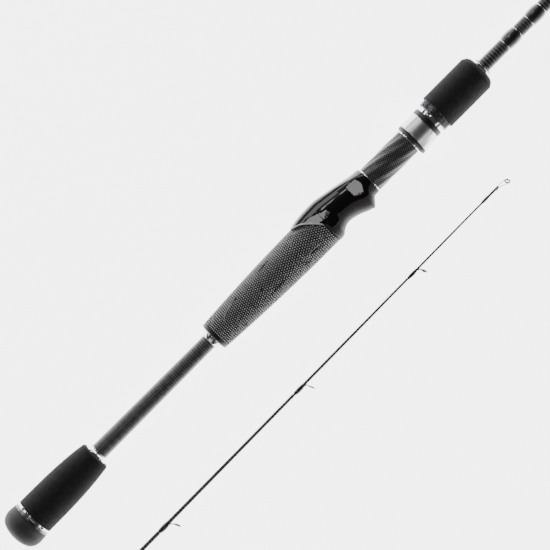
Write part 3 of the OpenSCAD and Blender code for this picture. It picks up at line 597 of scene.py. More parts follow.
# The seat's rear edge in side view, from the back to the reel side: (x, y)
X_SEAT = span("seat_rear_trim")[0]
EDGE = curve([(-18, 1.3), (-15.5, 1.0), (-9.9, 0.82), (-3.7, 0.38), (0, 0), (1.2, -0.7), (2.4, -1.1)], 6)
X_AXIS_EDGE = span("reel_seat_core")[0] + 16.5 * MM
EDGE_X = [X_AXIS_EDGE + e[0] * MM for e in EDGE][::-1]
EDGE_Y = [e[1] * R_GRIP for e in EDGE][::-1]


def edge_x(y):
    """Where the seat's rear edge lies at height y."""
    return float(np.interp(y, EDGE_Y, EDGE_X))


# Sleeve skin: rows run from the end cap to the seat's edge, below the tops of the dots
SEG = 160
ROWS = 90
SKIN_DROP = 0.22 * MM
verts = []
for i in range(ROWS + 1):
    for k in range(SEG):
        a = 2 * pi * k / SEG
        end = edge_x(-R_GRIP * cos(a)) + 0.6 * MM
        x = x_sleeve + (end - x_sleeve) * i / ROWS
        r = sleeve_radius(x) - SKIN_DROP - (0.3 * MM if i == 0 else 0)
        verts.append(turned(x, r, a))
faces, uv = grid(ROWS + 1, SEG)
add("sleeve_skin", verts, faces, "skin", "rear_grip_sleeve", [(u * 1.05, v) for u, v in uv])

# Raised dots in staggered columns
COLUMN, AROUND = 1.43 * MM, 48
DOT_SIDES = 8
dot_verts, dot_faces = [], []
for c in range(int((X_AXIS_EDGE + 3 * MM - x_sleeve) / COLUMN)):
    x = x_sleeve + 0.9 * MM + c * COLUMN
    for k in range(AROUND):
        a = 2 * pi * (k + (c % 2) / 2) / AROUND
        r = sleeve_radius(x) - SKIN_DROP
        if x > edge_x(-r * cos(a)) - 0.75 * MM:
            continue
        half_x, half_c = 0.53 * MM, pi * r / AROUND * 0.66
        base = len(dot_verts)
        for lift, share in ((-0.05, 1.0), (0.2, 0.8), (0.27, 0.42)):
            for q in range(DOT_SIDES):
                b = 2 * pi * (q + 0.5) / DOT_SIDES
                aa = a + sin(b) * half_c * share / r
                xx = x + cos(b) * half_x * share
                dot_verts.append(turned(xx, sleeve_radius(xx) - SKIN_DROP + lift * MM, aa))
        dot_verts.append(turned(x, sleeve_radius(x) + 0.06 * MM, a))
        for ring in range(2):
            for q in range(DOT_SIDES):
                s0, s1 = base + ring * DOT_SIDES + q, base + ring * DOT_SIDES + (q + 1) % DOT_SIDES
                dot_faces.append((s0, s1, s1 + DOT_SIDES, s0 + DOT_SIDES))
        for q in range(DOT_SIDES):
            dot_faces.append((base + 2 * DOT_SIDES + q, base + 2 * DOT_SIDES + (q + 1) % DOT_SIDES,
                              base + 3 * DOT_SIDES))
add("sleeve_dots", dot_verts, dot_faces, "dot", "rear_grip_sleeve", sharp=0, replaces=False)

# Dark strokes and thin light arcs over the dots: (share of the sleeve's length, degrees from the reel side)
STROKES = [((0.23, 124), (0.27, 132)), ((0.46, 134), (0.53, 137), (0.605, 138)), ((0.405, 84), (0.425, 91)),
           ((0.295, 72), (0.315, 66)), ((0.4, 55), (0.51, 58), (0.62, 60)), ((0.63, 70), (0.67, 76)),
           ((0.17, 40), (0.205, 39)), ((0.72, 48), (0.78, 43)), ((0.78, 57), (0.845, 60), (0.91, 57)),
           ((0.1, 240), (0.2, 236)), ((0.4, 262), (0.52, 268), (0.6, 266)), ((0.5, 232), (0.53, 226)),
           ((0.66, 300), (0.76, 304), (0.86, 300)), ((0.35, 320), (0.47, 323)), ((0.2, 200), (0.3, 196))]
ARCS = [((0.1, 90), (0.115, 110), (0.19, 124), (0.255, 132)),
        ((0.72, 150), (0.8, 142), (0.87, 128), (0.92, 108)),
        ((0.775, 52), (0.8, 63), (0.88, 64), (0.93, 57)), ((0.55, 260), (0.6, 285), (0.67, 300), (0.74, 305))]
for name, lines, thick, lift, material in (("sleeve_strokes", STROKES, 0.75, 0.45, "skin"),
                                           ("sleeve_arcs", ARCS, 0.3, 0.02, "arc")):
    parts = []
    for line in lines:
        path = []
        for share, degrees in curve(line, 10):
            x = x_sleeve + share * (X_AXIS_EDGE - x_sleeve)
            path.append(turned(x, sleeve_radius(x) - lift * MM, radians(degrees)))
        parts.append(sweep(path, thick * MM, 8, lambda t: max(0.35, sin(pi * (0.04 + 0.92 * t)))))
    add(name, *joined(parts), material, "rear_grip_sleeve", replaces=False)

# ---- reel seat

# Sections from the front face back: (distance mm, back, reel side, half-width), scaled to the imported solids
SECTIONS = [(57, 13.1, 13.3, 13.2), (52, 14.65, 13.3, 13.3), (45.9, 15.4, 13.3, 13.3),
            (39, 15.65, 13.2, 13.1), (34.5, 15.6, 12.8, 12.9), (31.8, 15.35, 10.9, 12.7),
            (28, 14.75, 9.3, 12.3), (24, 14.05, 9.25, 11.9), (18.3, 13.05, 10.7, 11.3),
            (14, 12.25, 12.5, 11), (10, 11.45, 13.95, 10.8), (8.8, 11.15, 14.15, 10.7),
            (6.2, 10.65, 11.5, 10.4), (3.8, 10.35, 9.2, 10), (0, 9.85, 8.95, 9.6)]
BACK_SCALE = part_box("reel_seat_shell")[1].y / (15.65 * MM)
LIP_SCALE = -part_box("reel_seat_body")[0].y / (14.15 * MM)
fine = []
for column in (1, 2, 3):
    line = curve([(-s[0] * MM + X_SEAT, s[column] * MM) for s in SECTIONS], 8)
    fine.append(([q[0] for q in line], [q[1] for q in line]))
RIDGE_X = [X_SEAT - d * MM for d in (57, 50, 40, 30, 20, 12, 6, 0)]
RIDGE_A = [radians(q) for q in (34, 30, 27, 27, 32, 40, 48, 52)]


def ridge_angle(x):
    return float(np.interp(x, RIDGE_X, RIDGE_A))


# Flats cut into the shell's sides: where they reach, their middle as (mm before the front face,
# mm from the axis), their slopes along X and Y, and their depth at the middle
FACETS = [
    (lambda x, y: x < X_SEAT - 31.3 * MM and 0.9 * MM + 0.42 * (x - X_SEAT + 39.4 * MM) < y
     < 10.4 * MM - 0.34 * max(0, x - X_SEAT + 43 * MM), (39, 5.5), (-0.11, -0.36), 1.1),
    (lambda x, y: -0.4 * MM - 0.5 * (x - X_SEAT + 13.8 * MM) < y < 7.6 * MM and x > X_SEAT - 13.8 * MM,
     (9, 1.8), (0.148, -0.16), 1.2),
]


def seat_point(x, a, inset=0.0):
    """A point of the seat's surface: a is the angle from the back, positive towards +Z."""
    back, reel = np.interp(x, *fine[0]) * BACK_SCALE, np.interp(x, *fine[1]) * LIP_SCALE
    half = np.interp(x, *fine[2])
    c, w = cos(a), sin(a)
    front = min(1.0, max(0.0, (X_SEAT - x) / (5 * MM)))
    p = 1.0 - 0.2 * front if c > 0 else 0.78
    crease = max(0.0, 1 - abs(abs(a) - ridge_angle(x)) / 0.36)
    k = 1 + 0.035 * crease * front
    y = (back if c > 0 else reel) * copysign(abs(c) ** p, c) * k
    z = half * copysign(abs(w) ** (p if c <= 0 else p * 0.95), w) * k
    for reaches, (fx, fy), (slope_x, slope_y), depth in FACETS:
        if reaches(x, y):
            at = X_SEAT - fx * MM
            level = np.interp(at, *fine[2]) - depth * MM + slope_x * (x - at) + slope_y * (y - fy * MM)
            z = copysign(min(abs(z), level), z)
    r = hypot(y, z)
    shrink = (r - inset) / r
    return x, y * shrink, z * shrink


# Where the shell meets the body in side view: (mm in front of the rear edge, mm from the axis)
LOWER = curve([(-24, 0.5), (0, 0.5), (2.5, -4.3), (8.4, -4.6), (10.5, -0.8), (14, -1.5), (20, -1.9),
               (24.2, -3.1), (28.5, -5), (32.6, -6.2), (35, -3.4), (40, -1.2)], 6)
LOWER_X = [X_AXIS_EDGE + q[0] * MM for q in LOWER]
LOWER_Y = [q[1] * MM for q in LOWER]


def split_angle(x):
    """Where the gloss shell meets the satin body."""
    want = float(np.interp(x, LOWER_X, LOWER_Y))
    low, high = 0.3, pi - 0.05
    for _ in range(30):
        mid = (low + high) / 2
        if seat_point(x, mid)[1] > want:
            low = mid
        else:
            high = mid
    return low


STEPS, ACROSS = 150, 88
# A sheet's rolled rim: how far (mm) its three outer rows sink and slide
RIM_SINK, RIM_SLIDE = (0, 0.1, 0.35, 1.3), (0, 0.12, 0.2, 0.2)
xs_table = np.linspace(min(EDGE_X), X_SEAT, 400)
split_table = np.array([split_angle(x) for x in xs_table])


def split_at(x):
    return float(np.interp(x, xs_table, split_table))


def patch(name, node, material, start, angle, roll, lift):
    """A sheet of the seat's surface with a rolled rim, from its rear edge at start(t) to the front face.
    angle(x, t) is the angle at the place t across, roll turns its side rims and lift is in millimetres."""
    verts = []
    for i in range(-3, STEPS + 4):
        for j in range(-3, ACROSS + 4):
            t = min(max(j, 0), ACROSS) / ACROSS
            x = start(t) + (X_SEAT - start(t)) * min(max(i, 0), STEPS) / STEPS
            out_i, out_j = max(-i, i - STEPS, 0), max(-j, j - ACROSS, 0)
            shift = -0.6 * MM * RIM_SLIDE[out_i] if i < 0 else 0
            turn = RIM_SLIDE[out_j] / 12 * (1 if j < 0 else -1) * roll
            px, py, pz = seat_point(x, angle(x, t) - turn, (RIM_SINK[max(out_i, out_j)] - lift) * MM)
            verts.append((min(px + shift, X_SEAT), py, pz))
    faces, uv = grid(STEPS + 7, ACROSS + 7, wrap_cols=False)
    add(name, verts, faces, material, node, [(u * 0.35, v) for u, v in uv], sharp=50)


def shell_angle(x, t):
    """Across the shell: from the split on the +Z side, over both ridges, to the split on the -Z side."""
    s, r = split_at(x), ridge_angle(x)
    q = 1 - 2 * t
    side, q = (1 if q >= 0 else -1), abs(q)
    return side * (r + (s - r) * (q - 0.34) / 0.66 if q > 0.34 else r * q / 0.34)


def body_angle(x, t):
    s = split_at(x) - 0.02
    return s + (2 * pi - 2 * s) * t


def rear_edge(angle):
    """A function that gives where a sheet meets the seat's rear edge, at a place across."""
    @lru_cache(maxsize=None)
    def start(t):
        x = X_AXIS_EDGE
        for _ in range(14):
            x = 0.5 * x + 0.5 * edge_x(seat_point(x, angle(x, t))[1])
        return x
    return start


shell_start, body_start = rear_edge(shell_angle), rear_edge(body_angle)
patch("seat_gloss_shell", "reel_seat_shell", "gloss", shell_start, shell_angle, -1, 0.12)
patch("seat_satin_body", "reel_seat_body", "satin", body_start, body_angle, 0, 0)

# The shell's rear rim is painted light grey, a painted highlight for the reflection along the gloss edge; the
# body's rear lip is plain black
for name, node, start, angle, material in (
        ("seat_rear_rim_painted_highlight", "reel_seat_shell", shell_start, shell_angle, "rim"),
        ("seat_rear_lip", "reel_seat_core", body_start, body_angle, "black")):
    path = [seat_point(start(t) + 0.2 * MM, angle(start(t), t), 0.1 * MM) for t in np.linspace(0, 1, 81)]
    add(name, *sweep(path, 0.5 * MM), material, node, replaces=False)

turned_like("seat_trim_line", "seat_rear_trim", "chrome", ease=0.2, seg=128)
turned_like("barrel_ring", "barrel_end_ring", "chrome", ease=0.2, seg=128)

# Carbon barrel with raised diagonal ribs
b0, b1 = span("seat_barrel")
_, barrel_r, bore_r = side_of("seat_barrel")[0]
RIB_STARTS, RIB_TURN, RIB_HEIGHT = 10, 2 * pi / (165 * MM), 0.16 * MM


def ribbed(x, a, r):
    if r < barrel_r - 0.2 * MM:
        return r
    wave = sin(RIB_STARTS * a + RIB_STARTS * RIB_TURN * (x - b0))
    fade = min(1, (x - b0) / (1.2 * MM), (b1 - x) / (1.2 * MM))
    return r - RIB_HEIGHT + RIB_HEIGHT * fade * wave


barrel = [(b0 + (b1 - b0) * k / 150, barrel_r) for k in range(151)]
lathe("barrel_cloth", barrel + [(b1, bore_r), (b0, bore_r)], "twill", "seat_barrel", seg=224, bend=ribbed)

# Helical thread
t0, t1 = span("seat_thread")
thread_side = side_of("seat_thread")
thread_r = max(o for x, o, _ in thread_side)
thread_bore = min(i for _, _, i in thread_side)
x_run = span("barrel_end_ring")[1]
PITCH = 2 * MM


def threaded(x, a, r):
    if r < thread_bore + 0.3 * MM or x < x_run:
        return r
    phase = ((x - x_run) / PITCH - a / (2 * pi)) % 1
    depth = min(1.0, max(0.0, (abs(phase - 0.5) * 2 - 0.25) / 0.35))
    fade = min(1.0, (x - x_run) / PITCH, max(0.0, (t1 - x) / PITCH))
    return r - 0.5 * MM * depth * fade


steps = int((t1 - x_run) / (0.2 * MM))
lathe("seat_thread_form", [(t0, thread_r)] + [(x_run + (t1 - x_run) * k / steps, thread_r - 1e-5)
      for k in range(steps + 1)] + [(t1, thread_bore), (t0, thread_bore)],
      "black", "seat_thread", seg=72, bend=threaded)

# ---- moving hood

liner_lo, liner_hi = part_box("hood_liner")
cover_lo, cover_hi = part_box("hood_sleeve")
x_liner, x_hood, x_hood_front = liner_lo.x, cover_lo.x, cover_hi.x
hood_r = cover_hi.z
bulge = -cover_lo.y - hood_r
BULGE_R, BULGE_FALL = 8.2 * MM, 1.4 * MM


def hood_point(a, r_round, grow, inset):
    """A point of the hood's outline: round, with a bulge on the reel side; a is the angle from -Y."""
    r_bulge = BULGE_R - inset
    if r_round - inset >= grow * cos(a) + r_bulge:
        return (-(r_round - inset) * cos(a), (r_round - inset) * sin(a))
    return (-grow - r_bulge * cos(a), r_bulge * sin(a))


def hood_loft(name, stations, material, node, inner, replaces=True, seg=144):
    """A loft of hood outlines: stations are (x, inset, share of the bulge). The inside is an open bore."""
    verts = []
    for x, inset, share in stations:
        grow = hood_r + bulge - BULGE_R - BULGE_FALL * (1 - share)
        for k in range(seg):
            verts.append((x, *hood_point(2 * pi * k / seg, hood_r, grow, inset)))
    for x in (stations[-1][0], stations[0][0]):
        verts += [(x, *inner(2 * pi * k / seg)) for k in range(seg)]
    faces, uv = grid(len(stations) + 2, seg, wrap_rows=True)
    length = [s[0] * 1000 for s in stations] + [stations[-1][0] * 1000 + 3, stations[0][0] * 1000 + 12, 0]
    add(name, verts, faces, material, node, [(length[int(u)], v) for u, v in uv], replaces=replaces)


def share_at(x):
    return 1 - (x - x_liner) / (x_hood_front - x_liner)


E = 0.28 * MM
hood_stations = [(x_hood, 0.3 * MM, share_at(x_hood)), (x_hood + 0.1 * MM, 0.1 * MM, share_at(x_hood)),
                 (x_hood + E, 0, share_at(x_hood))]
hood_stations += [(x_hood + E + (x_hood_front - x_hood - 2 * E) * k / 12, 0,
                   share_at(x_hood + (x_hood_front - x_hood) * k / 12)) for k in range(1, 13)]
hood_stations += [(x_hood_front - 0.1 * MM, 0.1 * MM, 0.02), (x_hood_front, 0.3 * MM, 0)]


def hood_inner(a):
    return hood_point(a, hood_r, hood_r + bulge - BULGE_R - BULGE_FALL, 0.7 * MM)


hood_loft("hood_brushed_cover", hood_stations, "brushed", "hood_sleeve", hood_inner)

# The black liner: an outer flange, and a mouth cut for the reel foot
bore_hood = side_of("hood_liner")
bore_min = min(i for _, _, i in bore_hood)
flange = [(x_liner, 0.75 * MM, 1), (x_liner + 0.25 * MM, 0.35 * MM, 1), (x_liner + 0.7 * MM, 0.12 * MM, 0.97),
          (x_hood - 0.2 * MM, 0.12 * MM, 0.85), (x_hood + 0.02 * MM, 0.3 * MM, 0.82)]
MOUTH_R = BULGE_R - 1.1 * MM
MOUTH_Y = hood_r + bulge - BULGE_R


def mouth(a):
    """The liner's opening: the bore, joined to the pocket for the foot."""
    if bore_min >= MOUTH_Y * cos(a) + MOUTH_R:
        return (-bore_min * cos(a), bore_min * sin(a))
    return (-MOUTH_Y - MOUTH_R * cos(a), MOUTH_R * sin(a))


hood_loft("hood_liner_flange", flange, "black", "hood_liner", mouth, replaces=False)
POCKET_SEG = 96
pocket_verts = []
tail = liner_hi.x
for x, share in ((x_liner + 0.3 * MM, 1.0), (x_liner + 3 * MM, 0.95), (x_hood_front - 0.6 * MM, 0.55),
                 (x_hood_front, 0.0), (tail, 0.0)):
    for k in range(POCKET_SEG):
        a = 2 * pi * k / POCKET_SEG
        y, z = mouth(a)
        ry, rz = -bore_min * cos(a), bore_min * sin(a)
        pocket_verts.append((x, ry + (y - ry) * share, rz + (z - rz) * share))
lip_r = max(o for x, o, _ in bore_hood if x > x_hood_front + 3.3 * MM)
tail_r = min(o for x, o, _ in bore_hood if x > x_hood_front - 0.5 * MM)
for x, r in ((tail, lip_r - 0.1 * MM), (tail - 0.15 * MM, lip_r), (tail - 0.75 * MM, lip_r),
             (tail - 0.8 * MM, tail_r), (x_hood_front, tail_r)):
    pocket_verts += circle(x, r, POCKET_SEG)
faces, uv = grid(10, POCKET_SEG)
add("hood_liner_pocket", pocket_verts, faces, "black", "hood_liner", uv)

# ---- lock nut and foregrip

turned_like("nut_black_collar", "nut_collar", "black", ease=0.35, seg=128)
turned_like("nut_chrome_neck", "nut_neck_ring", "chrome", ease=0.5, smooth=4, seg=128)
turned_like("foregrip_trim_line", "foregrip_trim_ring", "chrome", ease=0.15, seg=128)

n0, n1 = span("lock_nut")
nut_side = side_of("lock_nut")
nut_r, nut_bore = max(o for _, o, _ in nut_side), min(i for _, _, i in nut_side)
KNURLS = 72


def knurled(x, a, r):
    if r < nut_r - 0.25 * MM:
        return r
    share = (x - n0) / (n1 - n0)
    if share < 0.1 or share > 0.9:
        return r
    u = (x - n0) / (0.9 * MM)
    v = a * KNURLS / (2 * pi)
    p, q = (u + v) % 1, (u - v) % 1
    return r - 0.3 * MM * (1 - min(1, 2.6 * min(p, 1 - p, q, 1 - q)))


nut_x = [n0 + (n1 - n0) * k / 40 for k in range(41)]
nut_outline = [(n0, nut_r - 0.3 * MM)] + [(x, nut_r) for x in nut_x[1:-1]] + [(n1, nut_r - 0.3 * MM)]
lathe("lock_nut_knurled", nut_outline + [(n1, nut_bore), (n0, nut_bore)], "dark_metal", "lock_nut",
      seg=KNURLS * 6, bend=knurled)

turned_like("foregrip_foam", "foregrip", "foam_front", ease=0.4, smooth=5, seg=160)
turned_like("foregrip_bright_ring", "foregrip_check", "chrome", ease=0.3)
turned_like("foregrip_dark_ring", "foregrip_seal", "black", ease=0.3)

# ---- wraps, bands and hook keeper


def islands(node, gap):
    """Where each separate ring or wrap of a node starts and ends."""
    xs = sorted(points_of(node)[:, 0])
    out = [[xs[0], xs[0]]]
    for x in xs:
        if x - out[-1][1] > gap:
            out.append([x, x])
        out[-1][1] = x
    return out


def bands(name, node):
    """One eased ring for each band in a node of several."""
    groups, last = [], None
    for row in side_of(node):
        if last is None or row[0] - last > 0.9 * MM:
            groups.append([])
        groups[-1].append(row)
        last = row[0]
    parts, uv = [], []
    for g in groups:
        x0, x1 = g[0][0], g[-1][0]
        out, inn = max(q[1] for q in g), min(q[2] for q in g)
        outline = eased([(x0, out), (x1, out), (x1, inn - 0.2 * MM), (x0, inn - 0.2 * MM)], 0.12 * MM, 3)
        faces, ring_uv = grid(len(outline), 64, wrap_rows=True)
        parts.append(([p for x, r in outline for p in circle(x, r, 64)], faces))
        uv += [(x0 * 1000 + u * 0.08, v) for u, v in ring_uv]
    add(name, *joined(parts), "trim", node, uv)


def wrap_piece(name, node, x0, x1, radius, rise, foot):
    """An epoxied wrap, full in the middle and drawn thin at its ends. foot is (half-width angle, turn, lift)
    of its rise over a guide's foot."""
    n = 26
    r0, r1 = radius(x0), radius(x1)
    outline = []
    for k in range(n + 1):
        t = k / n
        full = sin(pi * t) ** 0.6
        outline.append((x0 + (x1 - x0) * t, r0 + (r1 - r0) * t + 0.03 * MM + rise * full))

    def over_foot(x, a, r):
        if r < min(r0, r1) - 0.1 * MM:
            return r
        half, turn, lift = foot
        away = (a - turn + pi) % (2 * pi) - pi
        return r + lift * exp(-((away / half) ** 4)) * min(1, 3.2 * min((x - x0), (x1 - x)) / (x1 - x0))

    inner = min(r0, r1) - 0.3 * MM
    lathe(name, outline + [(x1, inner), (x0, inner)], "epoxy", node, 72, 40, over_foot)


for name, node in (("keeper_wrap_a", "keeper_wrap_rear"), ("keeper_wrap_b", "keeper_wrap_front")):
    x0, x1 = span(node)
    turned_rise = max(o for _, o, _ in side_of(node)) - blank_radius((x0 + x1) / 2)
    wrap_piece(name, node, x0, x1, blank_radius, turned_rise + 0.02 * MM, (0.16, pi / 2 * 3, 0.25 * MM))
bands("keeper_bands", "keeper_trim_bands")

keep_lo, keep_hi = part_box("hook_keeper")
keep_mid = (keep_lo.x + keep_hi.x) / 2
wire_r = (keep_hi.y - keep_lo.y) / 2
z_leg = -(blank_radius(keep_mid) + wire_r + 0.05 * MM)
loop = z_leg - keep_lo.z - wire_r
half_loop = 4.2 * MM
keeper_path = [(keep_lo.x + 0.3 * MM, 0, z_leg), (keep_mid - half_loop - 1.2 * MM, 0, z_leg),
               (keep_mid - half_loop - 0.1 * MM, 0, z_leg - 0.5 * MM)]
for degrees in range(170, -1, -10):
    a = radians(degrees)
    keeper_path.append((keep_mid + half_loop * cos(a) * 0.98, 0,
                        z_leg - 1.0 * MM - (loop - 1.0 * MM) * sin(a)))
keeper_path += [(keep_mid + half_loop + 0.1 * MM, 0, z_leg - 0.5 * MM),
                (keep_mid + half_loop + 1.2 * MM, 0, z_leg), (keep_hi.x - 0.3 * MM, 0, z_leg)]
add("keeper_wire_loop", *sweep(curve(keeper_path, 3), wire_r, 12), "chrome", "hook_keeper")

turned_like("spigot_epoxy", "spigot_wrap", "epoxy", ease=0.1, smooth=4)
bands("spigot_bands", "spigot_trim_bands")

# ---- guides


WRAP_GAP = 4 * MM
# A guide's foot in section: (share of its thickness, share of its half-width)
FOOT_OUTLINE = ((0, -1), (0.55, -1), (1, -0.6), (1.1, 0), (1, 0.6), (0.55, 1), (0, 1), (-0.2, 0))


class Ring:
    """A guide's ring, in a frame turned so that it stands towards -Y."""

    def __init__(self, node):
        centre, axis, self.outer, self.bore, self.half = ring_of(node)
        self.node = node
        self.turn = atan2(centre[2], -centre[1])
        self.height = hypot(centre[1], centre[2])
        self.place = home[node] @ Matrix.Rotation(-self.turn, 4, "X")
        self.lean = acos(min(1, abs(axis[0])))
        self.axis = np.array([cos(self.lean), sin(self.lean), 0])
        self.centre = np.array([centre[0], -self.height, 0.0])

    def insert(self, name, points):
        """The ceramic ring, round on its inside."""
        ring = [(self.half * sin(b), self.bore + (self.outer - self.bore) * (0.98 - 0.98 * cos(b)))
                for b in np.linspace(-1.35, 1.35, points)]
        ring = [(-self.half * 0.9, self.outer)] + ring + [(self.half * 0.9, self.outer)]
        verts, faces = torus_of(self.centre, self.axis, ring[::-1])
        add(name, verts, faces, "ceramic", self.node, place=self.place, sharp=45)

    def band(self, depth, wall, ease):
        """The metal band round the ceramic ring."""
        inner, outer = self.outer - 0.05 * MM, self.outer + wall
        outline = [(-depth, inner), (depth, inner), (depth, outer), (-depth, outer)]
        return torus_of(self.centre, self.axis, eased(outline, ease, 3))

    def rim(self, radius, angle):
        """A point of the rim, at an angle from the one nearest the blank."""
        down = np.array([-sin(self.lean), cos(self.lean), 0])
        return self.centre + radius * (cos(angle) * down + sin(angle) * np.array([0, 0, 1.0]))


def guide(tag, ring_node, frame_node, blank_at, double):
    """A guide: ring, band, curved wire legs, and feet ground to a thin end."""
    ring = Ring(ring_node)
    outer, height, x = ring.outer, ring.height, ring.centre[0]
    ring.insert(f"{tag}_ring", 11)
    frame_pts = points_of(frame_node, ring.place)
    x_min, x_max = frame_pts[:, 0].min(), frame_pts[:, 0].max()
    wall = max(0.3 * MM, -frame_pts[:, 1].min() - height - outer * cos(ring.lean))
    wall = min(wall, 1.2 * MM)
    wire = max(0.24 * MM, 0.62 * wall)
    parts = [ring.band(max(0.3 * MM, ring.half - 0.2 * MM), wall, 0.3 * wall)]
    foot_w = float(np.abs(frame_pts[frame_pts[:, 0] < x_min + 0.5 * MM][:, 2]).max())
    for x_far, side in [(x_min, -1)] + ([(x_max, 1)] if double else []):
        r = blank_at(x_far)
        reach = [p[0] for p in frame_pts if abs(p[2]) <= foot_w * 1.05 and -p[1] < r + 1.2 * MM]
        if side < 0:
            x_near = min(max(q for q in reach if q < x), x - 0.3 * height)
        else:
            x_near = min(q for q in reach if q > x - 0.1 * height)
        thick = 0.45 * (0.3 * MM + 0.04 * outer) * 2
        rows = []
        for t in np.linspace(0, 1, 14):
            xx = x_far + (x_near - x_far) * t
            grow = 0.25 + 0.75 * min(1, t * 1.6)
            w = foot_w * (0.45 + 0.55 * min(1, t * 2.2))
            rows += [(xx, -(blank_at(xx) - 0.05 * MM + thick * grow * h * (1 - 0.35 * s * s)), w * s)
                     for h, s in FOOT_OUTLINE]
        parts.append((rows, capped(14, len(FOOT_OUTLINE))))
        y0 = -(r + thick * 0.7)
        for hand in (-1, 1):
            angle = radians(64 if side < 0 else 18) * hand
            rim = ring.rim(outer + wall * 0.5, angle)
            start_z = hand * foot_w * 0.55
            inside = x_near + side * 0.6 * wire
            bend = np.array([x_near + (x - x_near) * 0.16, y0 - 0.12 * (height - r), start_z * 1.1])
            mid = np.array([x_near + (rim[0] - x_near) * 0.55, y0 + (rim[1] - y0) * 0.52,
                            start_z + (rim[2] - start_z) * 0.5])
            path = [(x_near + side * 2.6 * wire, y0, start_z), (inside, y0 - 0.05 * wire, start_z),
                    bend, mid, rim]
            parts.append(sweep(curve(path, 6), wire))
    add(f"{tag}_frame", *joined(parts), "guide", frame_node, place=ring.place)
    return ring.turn


def height_in(node, x0, x1, radius):
    """How far a wrap stands over the blank's middle radius there."""
    return max(o for x, o, _ in side_of(node) if x0 <= x <= x1) - radius((x0 + x1) / 2)


guide("stripper_guide", "stripper_ring", "stripper_frame", blank_radius, True)
for k, (x0, x1) in enumerate(islands("stripper_wraps", WRAP_GAP)):
    high = height_in("stripper_wraps", x0, x1, blank_radius)
    wrap_piece(f"stripper_wrap_{k + 1}", "stripper_wraps", x0, x1, blank_radius, 0.45 * MM,
               (0.5, 0, high - 0.4 * MM))
bands("stripper_bands", "stripper_trim_bands")

# ---- tip section

tip_side = side_of("tip_blank")
tip_radius = radius_at(tip_side)
x_mouth, x_blank_end = tip_side[0][0], tip_side[-1][0]
x_socket_end = x_mouth + 60 * MM
socket_bore, tip_bore = tip_side[0][2], 0.1 * MM
inside = [(x_blank_end, tip_bore), (x_socket_end, tip_bore), (x_socket_end, socket_bore),
          (x_mouth, socket_bore)]
lathe("tip_blank_carbon", [(x, o) for x, o, _ in tip_side] + inside, "blank_front", "tip_blank", seg=48)
turned_like("ferrule_epoxy", "ferrule_wrap", "epoxy", ease=0.1, smooth=4)
bands("ferrule_bands", "ferrule_trim_bands")
spots = []
for k in range(1, 7):
    turn = guide(f"guide_{k}", f"guide_ring_{k}", f"guide_frame_{k}", tip_radius, k == 6)
    spots.append((ring_of(f"guide_ring_{k}")[0][0], turn))
for k, (x0, x1) in enumerate(islands("guide_wraps", WRAP_GAP)):
    _, turn = min(spots, key=lambda s: abs(s[0] - (x0 + x1) / 2))
    high = height_in("guide_wraps", x0, x1, tip_radius)
    wrap_piece(f"guide_wrap_{k + 1}", "guide_wraps", x0, x1, tip_radius, high * 0.62,
               (0.55, turn, high * 0.4))
bands("guide_bands", "guide_trim_bands")

# Tip top: tube, two wire arms and the ring
top = Ring("tip_top_ring")
top.insert("tip_top_ring_polished", 9)
top_pts = points_of("tip_top_frame")
tube_x0 = top_pts[:, 0].min()
tube_x1 = x_blank_end + 0.6 * MM
tube_r = float(np.hypot(top_pts[:, 1], top_pts[:, 2])[top_pts[:, 0] < tube_x0 + 0.2 * MM].max())
wall = 0.28 * MM
parts = [top.band(top.half - 0.15 * MM, wall, 0.1 * MM)]
tube = eased([(tube_x0, tube_r), (tube_x1 - 0.3 * MM, tube_r), (tube_x1, tube_r * 0.6), (tube_x1, 0.15 * MM),
              (tube_x0, 0.15 * MM)], 0.15 * MM)
parts.append(([p for x, r in tube for p in circle(x, r, 32)], grid(len(tube), 32, wrap_rows=True)[0]))
for hand in (-1, 1):
    path = [(tube_x1 - 3 * MM, -tube_r * 0.7, hand * tube_r * 0.8),
            (tube_x1 - 0.4 * MM, -tube_r * 0.8, hand * tube_r * 0.8),
            (tube_x1 + 1.6 * MM, -tube_r * 1.1, hand * tube_r * 1.25),
            top.rim(top.outer + wall * 0.5, radians(86) * hand)]
    parts.append(sweep(curve(path, 6), 0.24 * MM))
add("tip_top_wire", *joined(parts), "guide", "tip_top_frame", place=top.place)
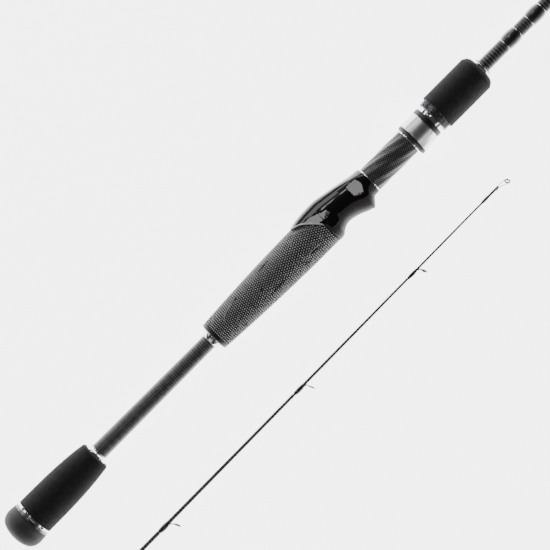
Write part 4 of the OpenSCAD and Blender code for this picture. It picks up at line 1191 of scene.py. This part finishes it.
turned_like("tip_top_epoxy", "tip_top_wrap", "epoxy", ease=0.1, smooth=4)

# ---- CAD nodes that stay, all inside the rod

for node, material in (("rear_grip_core", "foam"), ("reel_seat_core", "black"), ("seat_arbor_rear", "arbor"),
                       ("seat_arbor_front", "arbor"), ("nut_insert", "black")):
    mesh = frame["nodes"][node].data
    mesh.materials.clear()
    mesh.materials.append(M[material])

# ---- floor and light

floor_mesh = bpy.data.meshes.new("floor")
z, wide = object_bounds()[0].z - 0.2 * MM, 6.0
corners = [(-wide, -wide, z), (wide, -wide, z), (wide, wide, z), (-wide, wide, z)]
floor_mesh.from_pydata(corners, [], [(0, 1, 2, 3)])
paper = Shader("pale_paper", (0.93, 0.93, 0.93), rough=0.9, specular=0.1)
paper.set("Emission Color", (1, 1, 1, 1))
paper.set("Emission Strength", 5.0)
floor_mesh.materials.append(paper.mat)
placed("floor", floor_mesh)

world = bpy.data.worlds.new("studio")
scene.world = world
world.use_nodes = True
world.node_tree.nodes["Background"].inputs[0].default_value = (1, 1, 1, 1)
world.node_tree.nodes["Background"].inputs[1].default_value = 0.05


def softbox(name, tilt, swing, distance, size, size_y, watts):
    """A softbox aimed at the rod. tilt is its angle from straight up towards +Y, and swing towards +X."""
    lamp = bpy.data.lights.new(name, "AREA")
    lamp.shape = "RECTANGLE"
    lamp.size, lamp.size_y, lamp.energy = size, size_y, watts
    obj = placed(name, lamp)
    tilt, swing = radians(tilt), radians(swing)
    way = Vector((sin(swing), sin(tilt) * cos(swing), cos(tilt) * cos(swing)))
    obj.location = Vector((0.23, -0.02, 0)) + way * distance
    obj.rotation_euler = way.to_track_quat("Z", "Y").to_euler()


softbox("left_box", 62, 0, 1.3, 1.9, 0.3, 5.5)
softbox("right_box", -62, 0, 1.3, 1.9, 0.3, 3.2)
softbox("butt_box", 0, -62, 1.3, 0.8, 0.8, 1.5)
softbox("rear_flat_card", 40.8, 13.9, 1.34, 0.16, 0.16, 0.6)
softbox("front_flat_card", 19.2, -10.3, 1.3, 0.14, 0.14, 0.45)
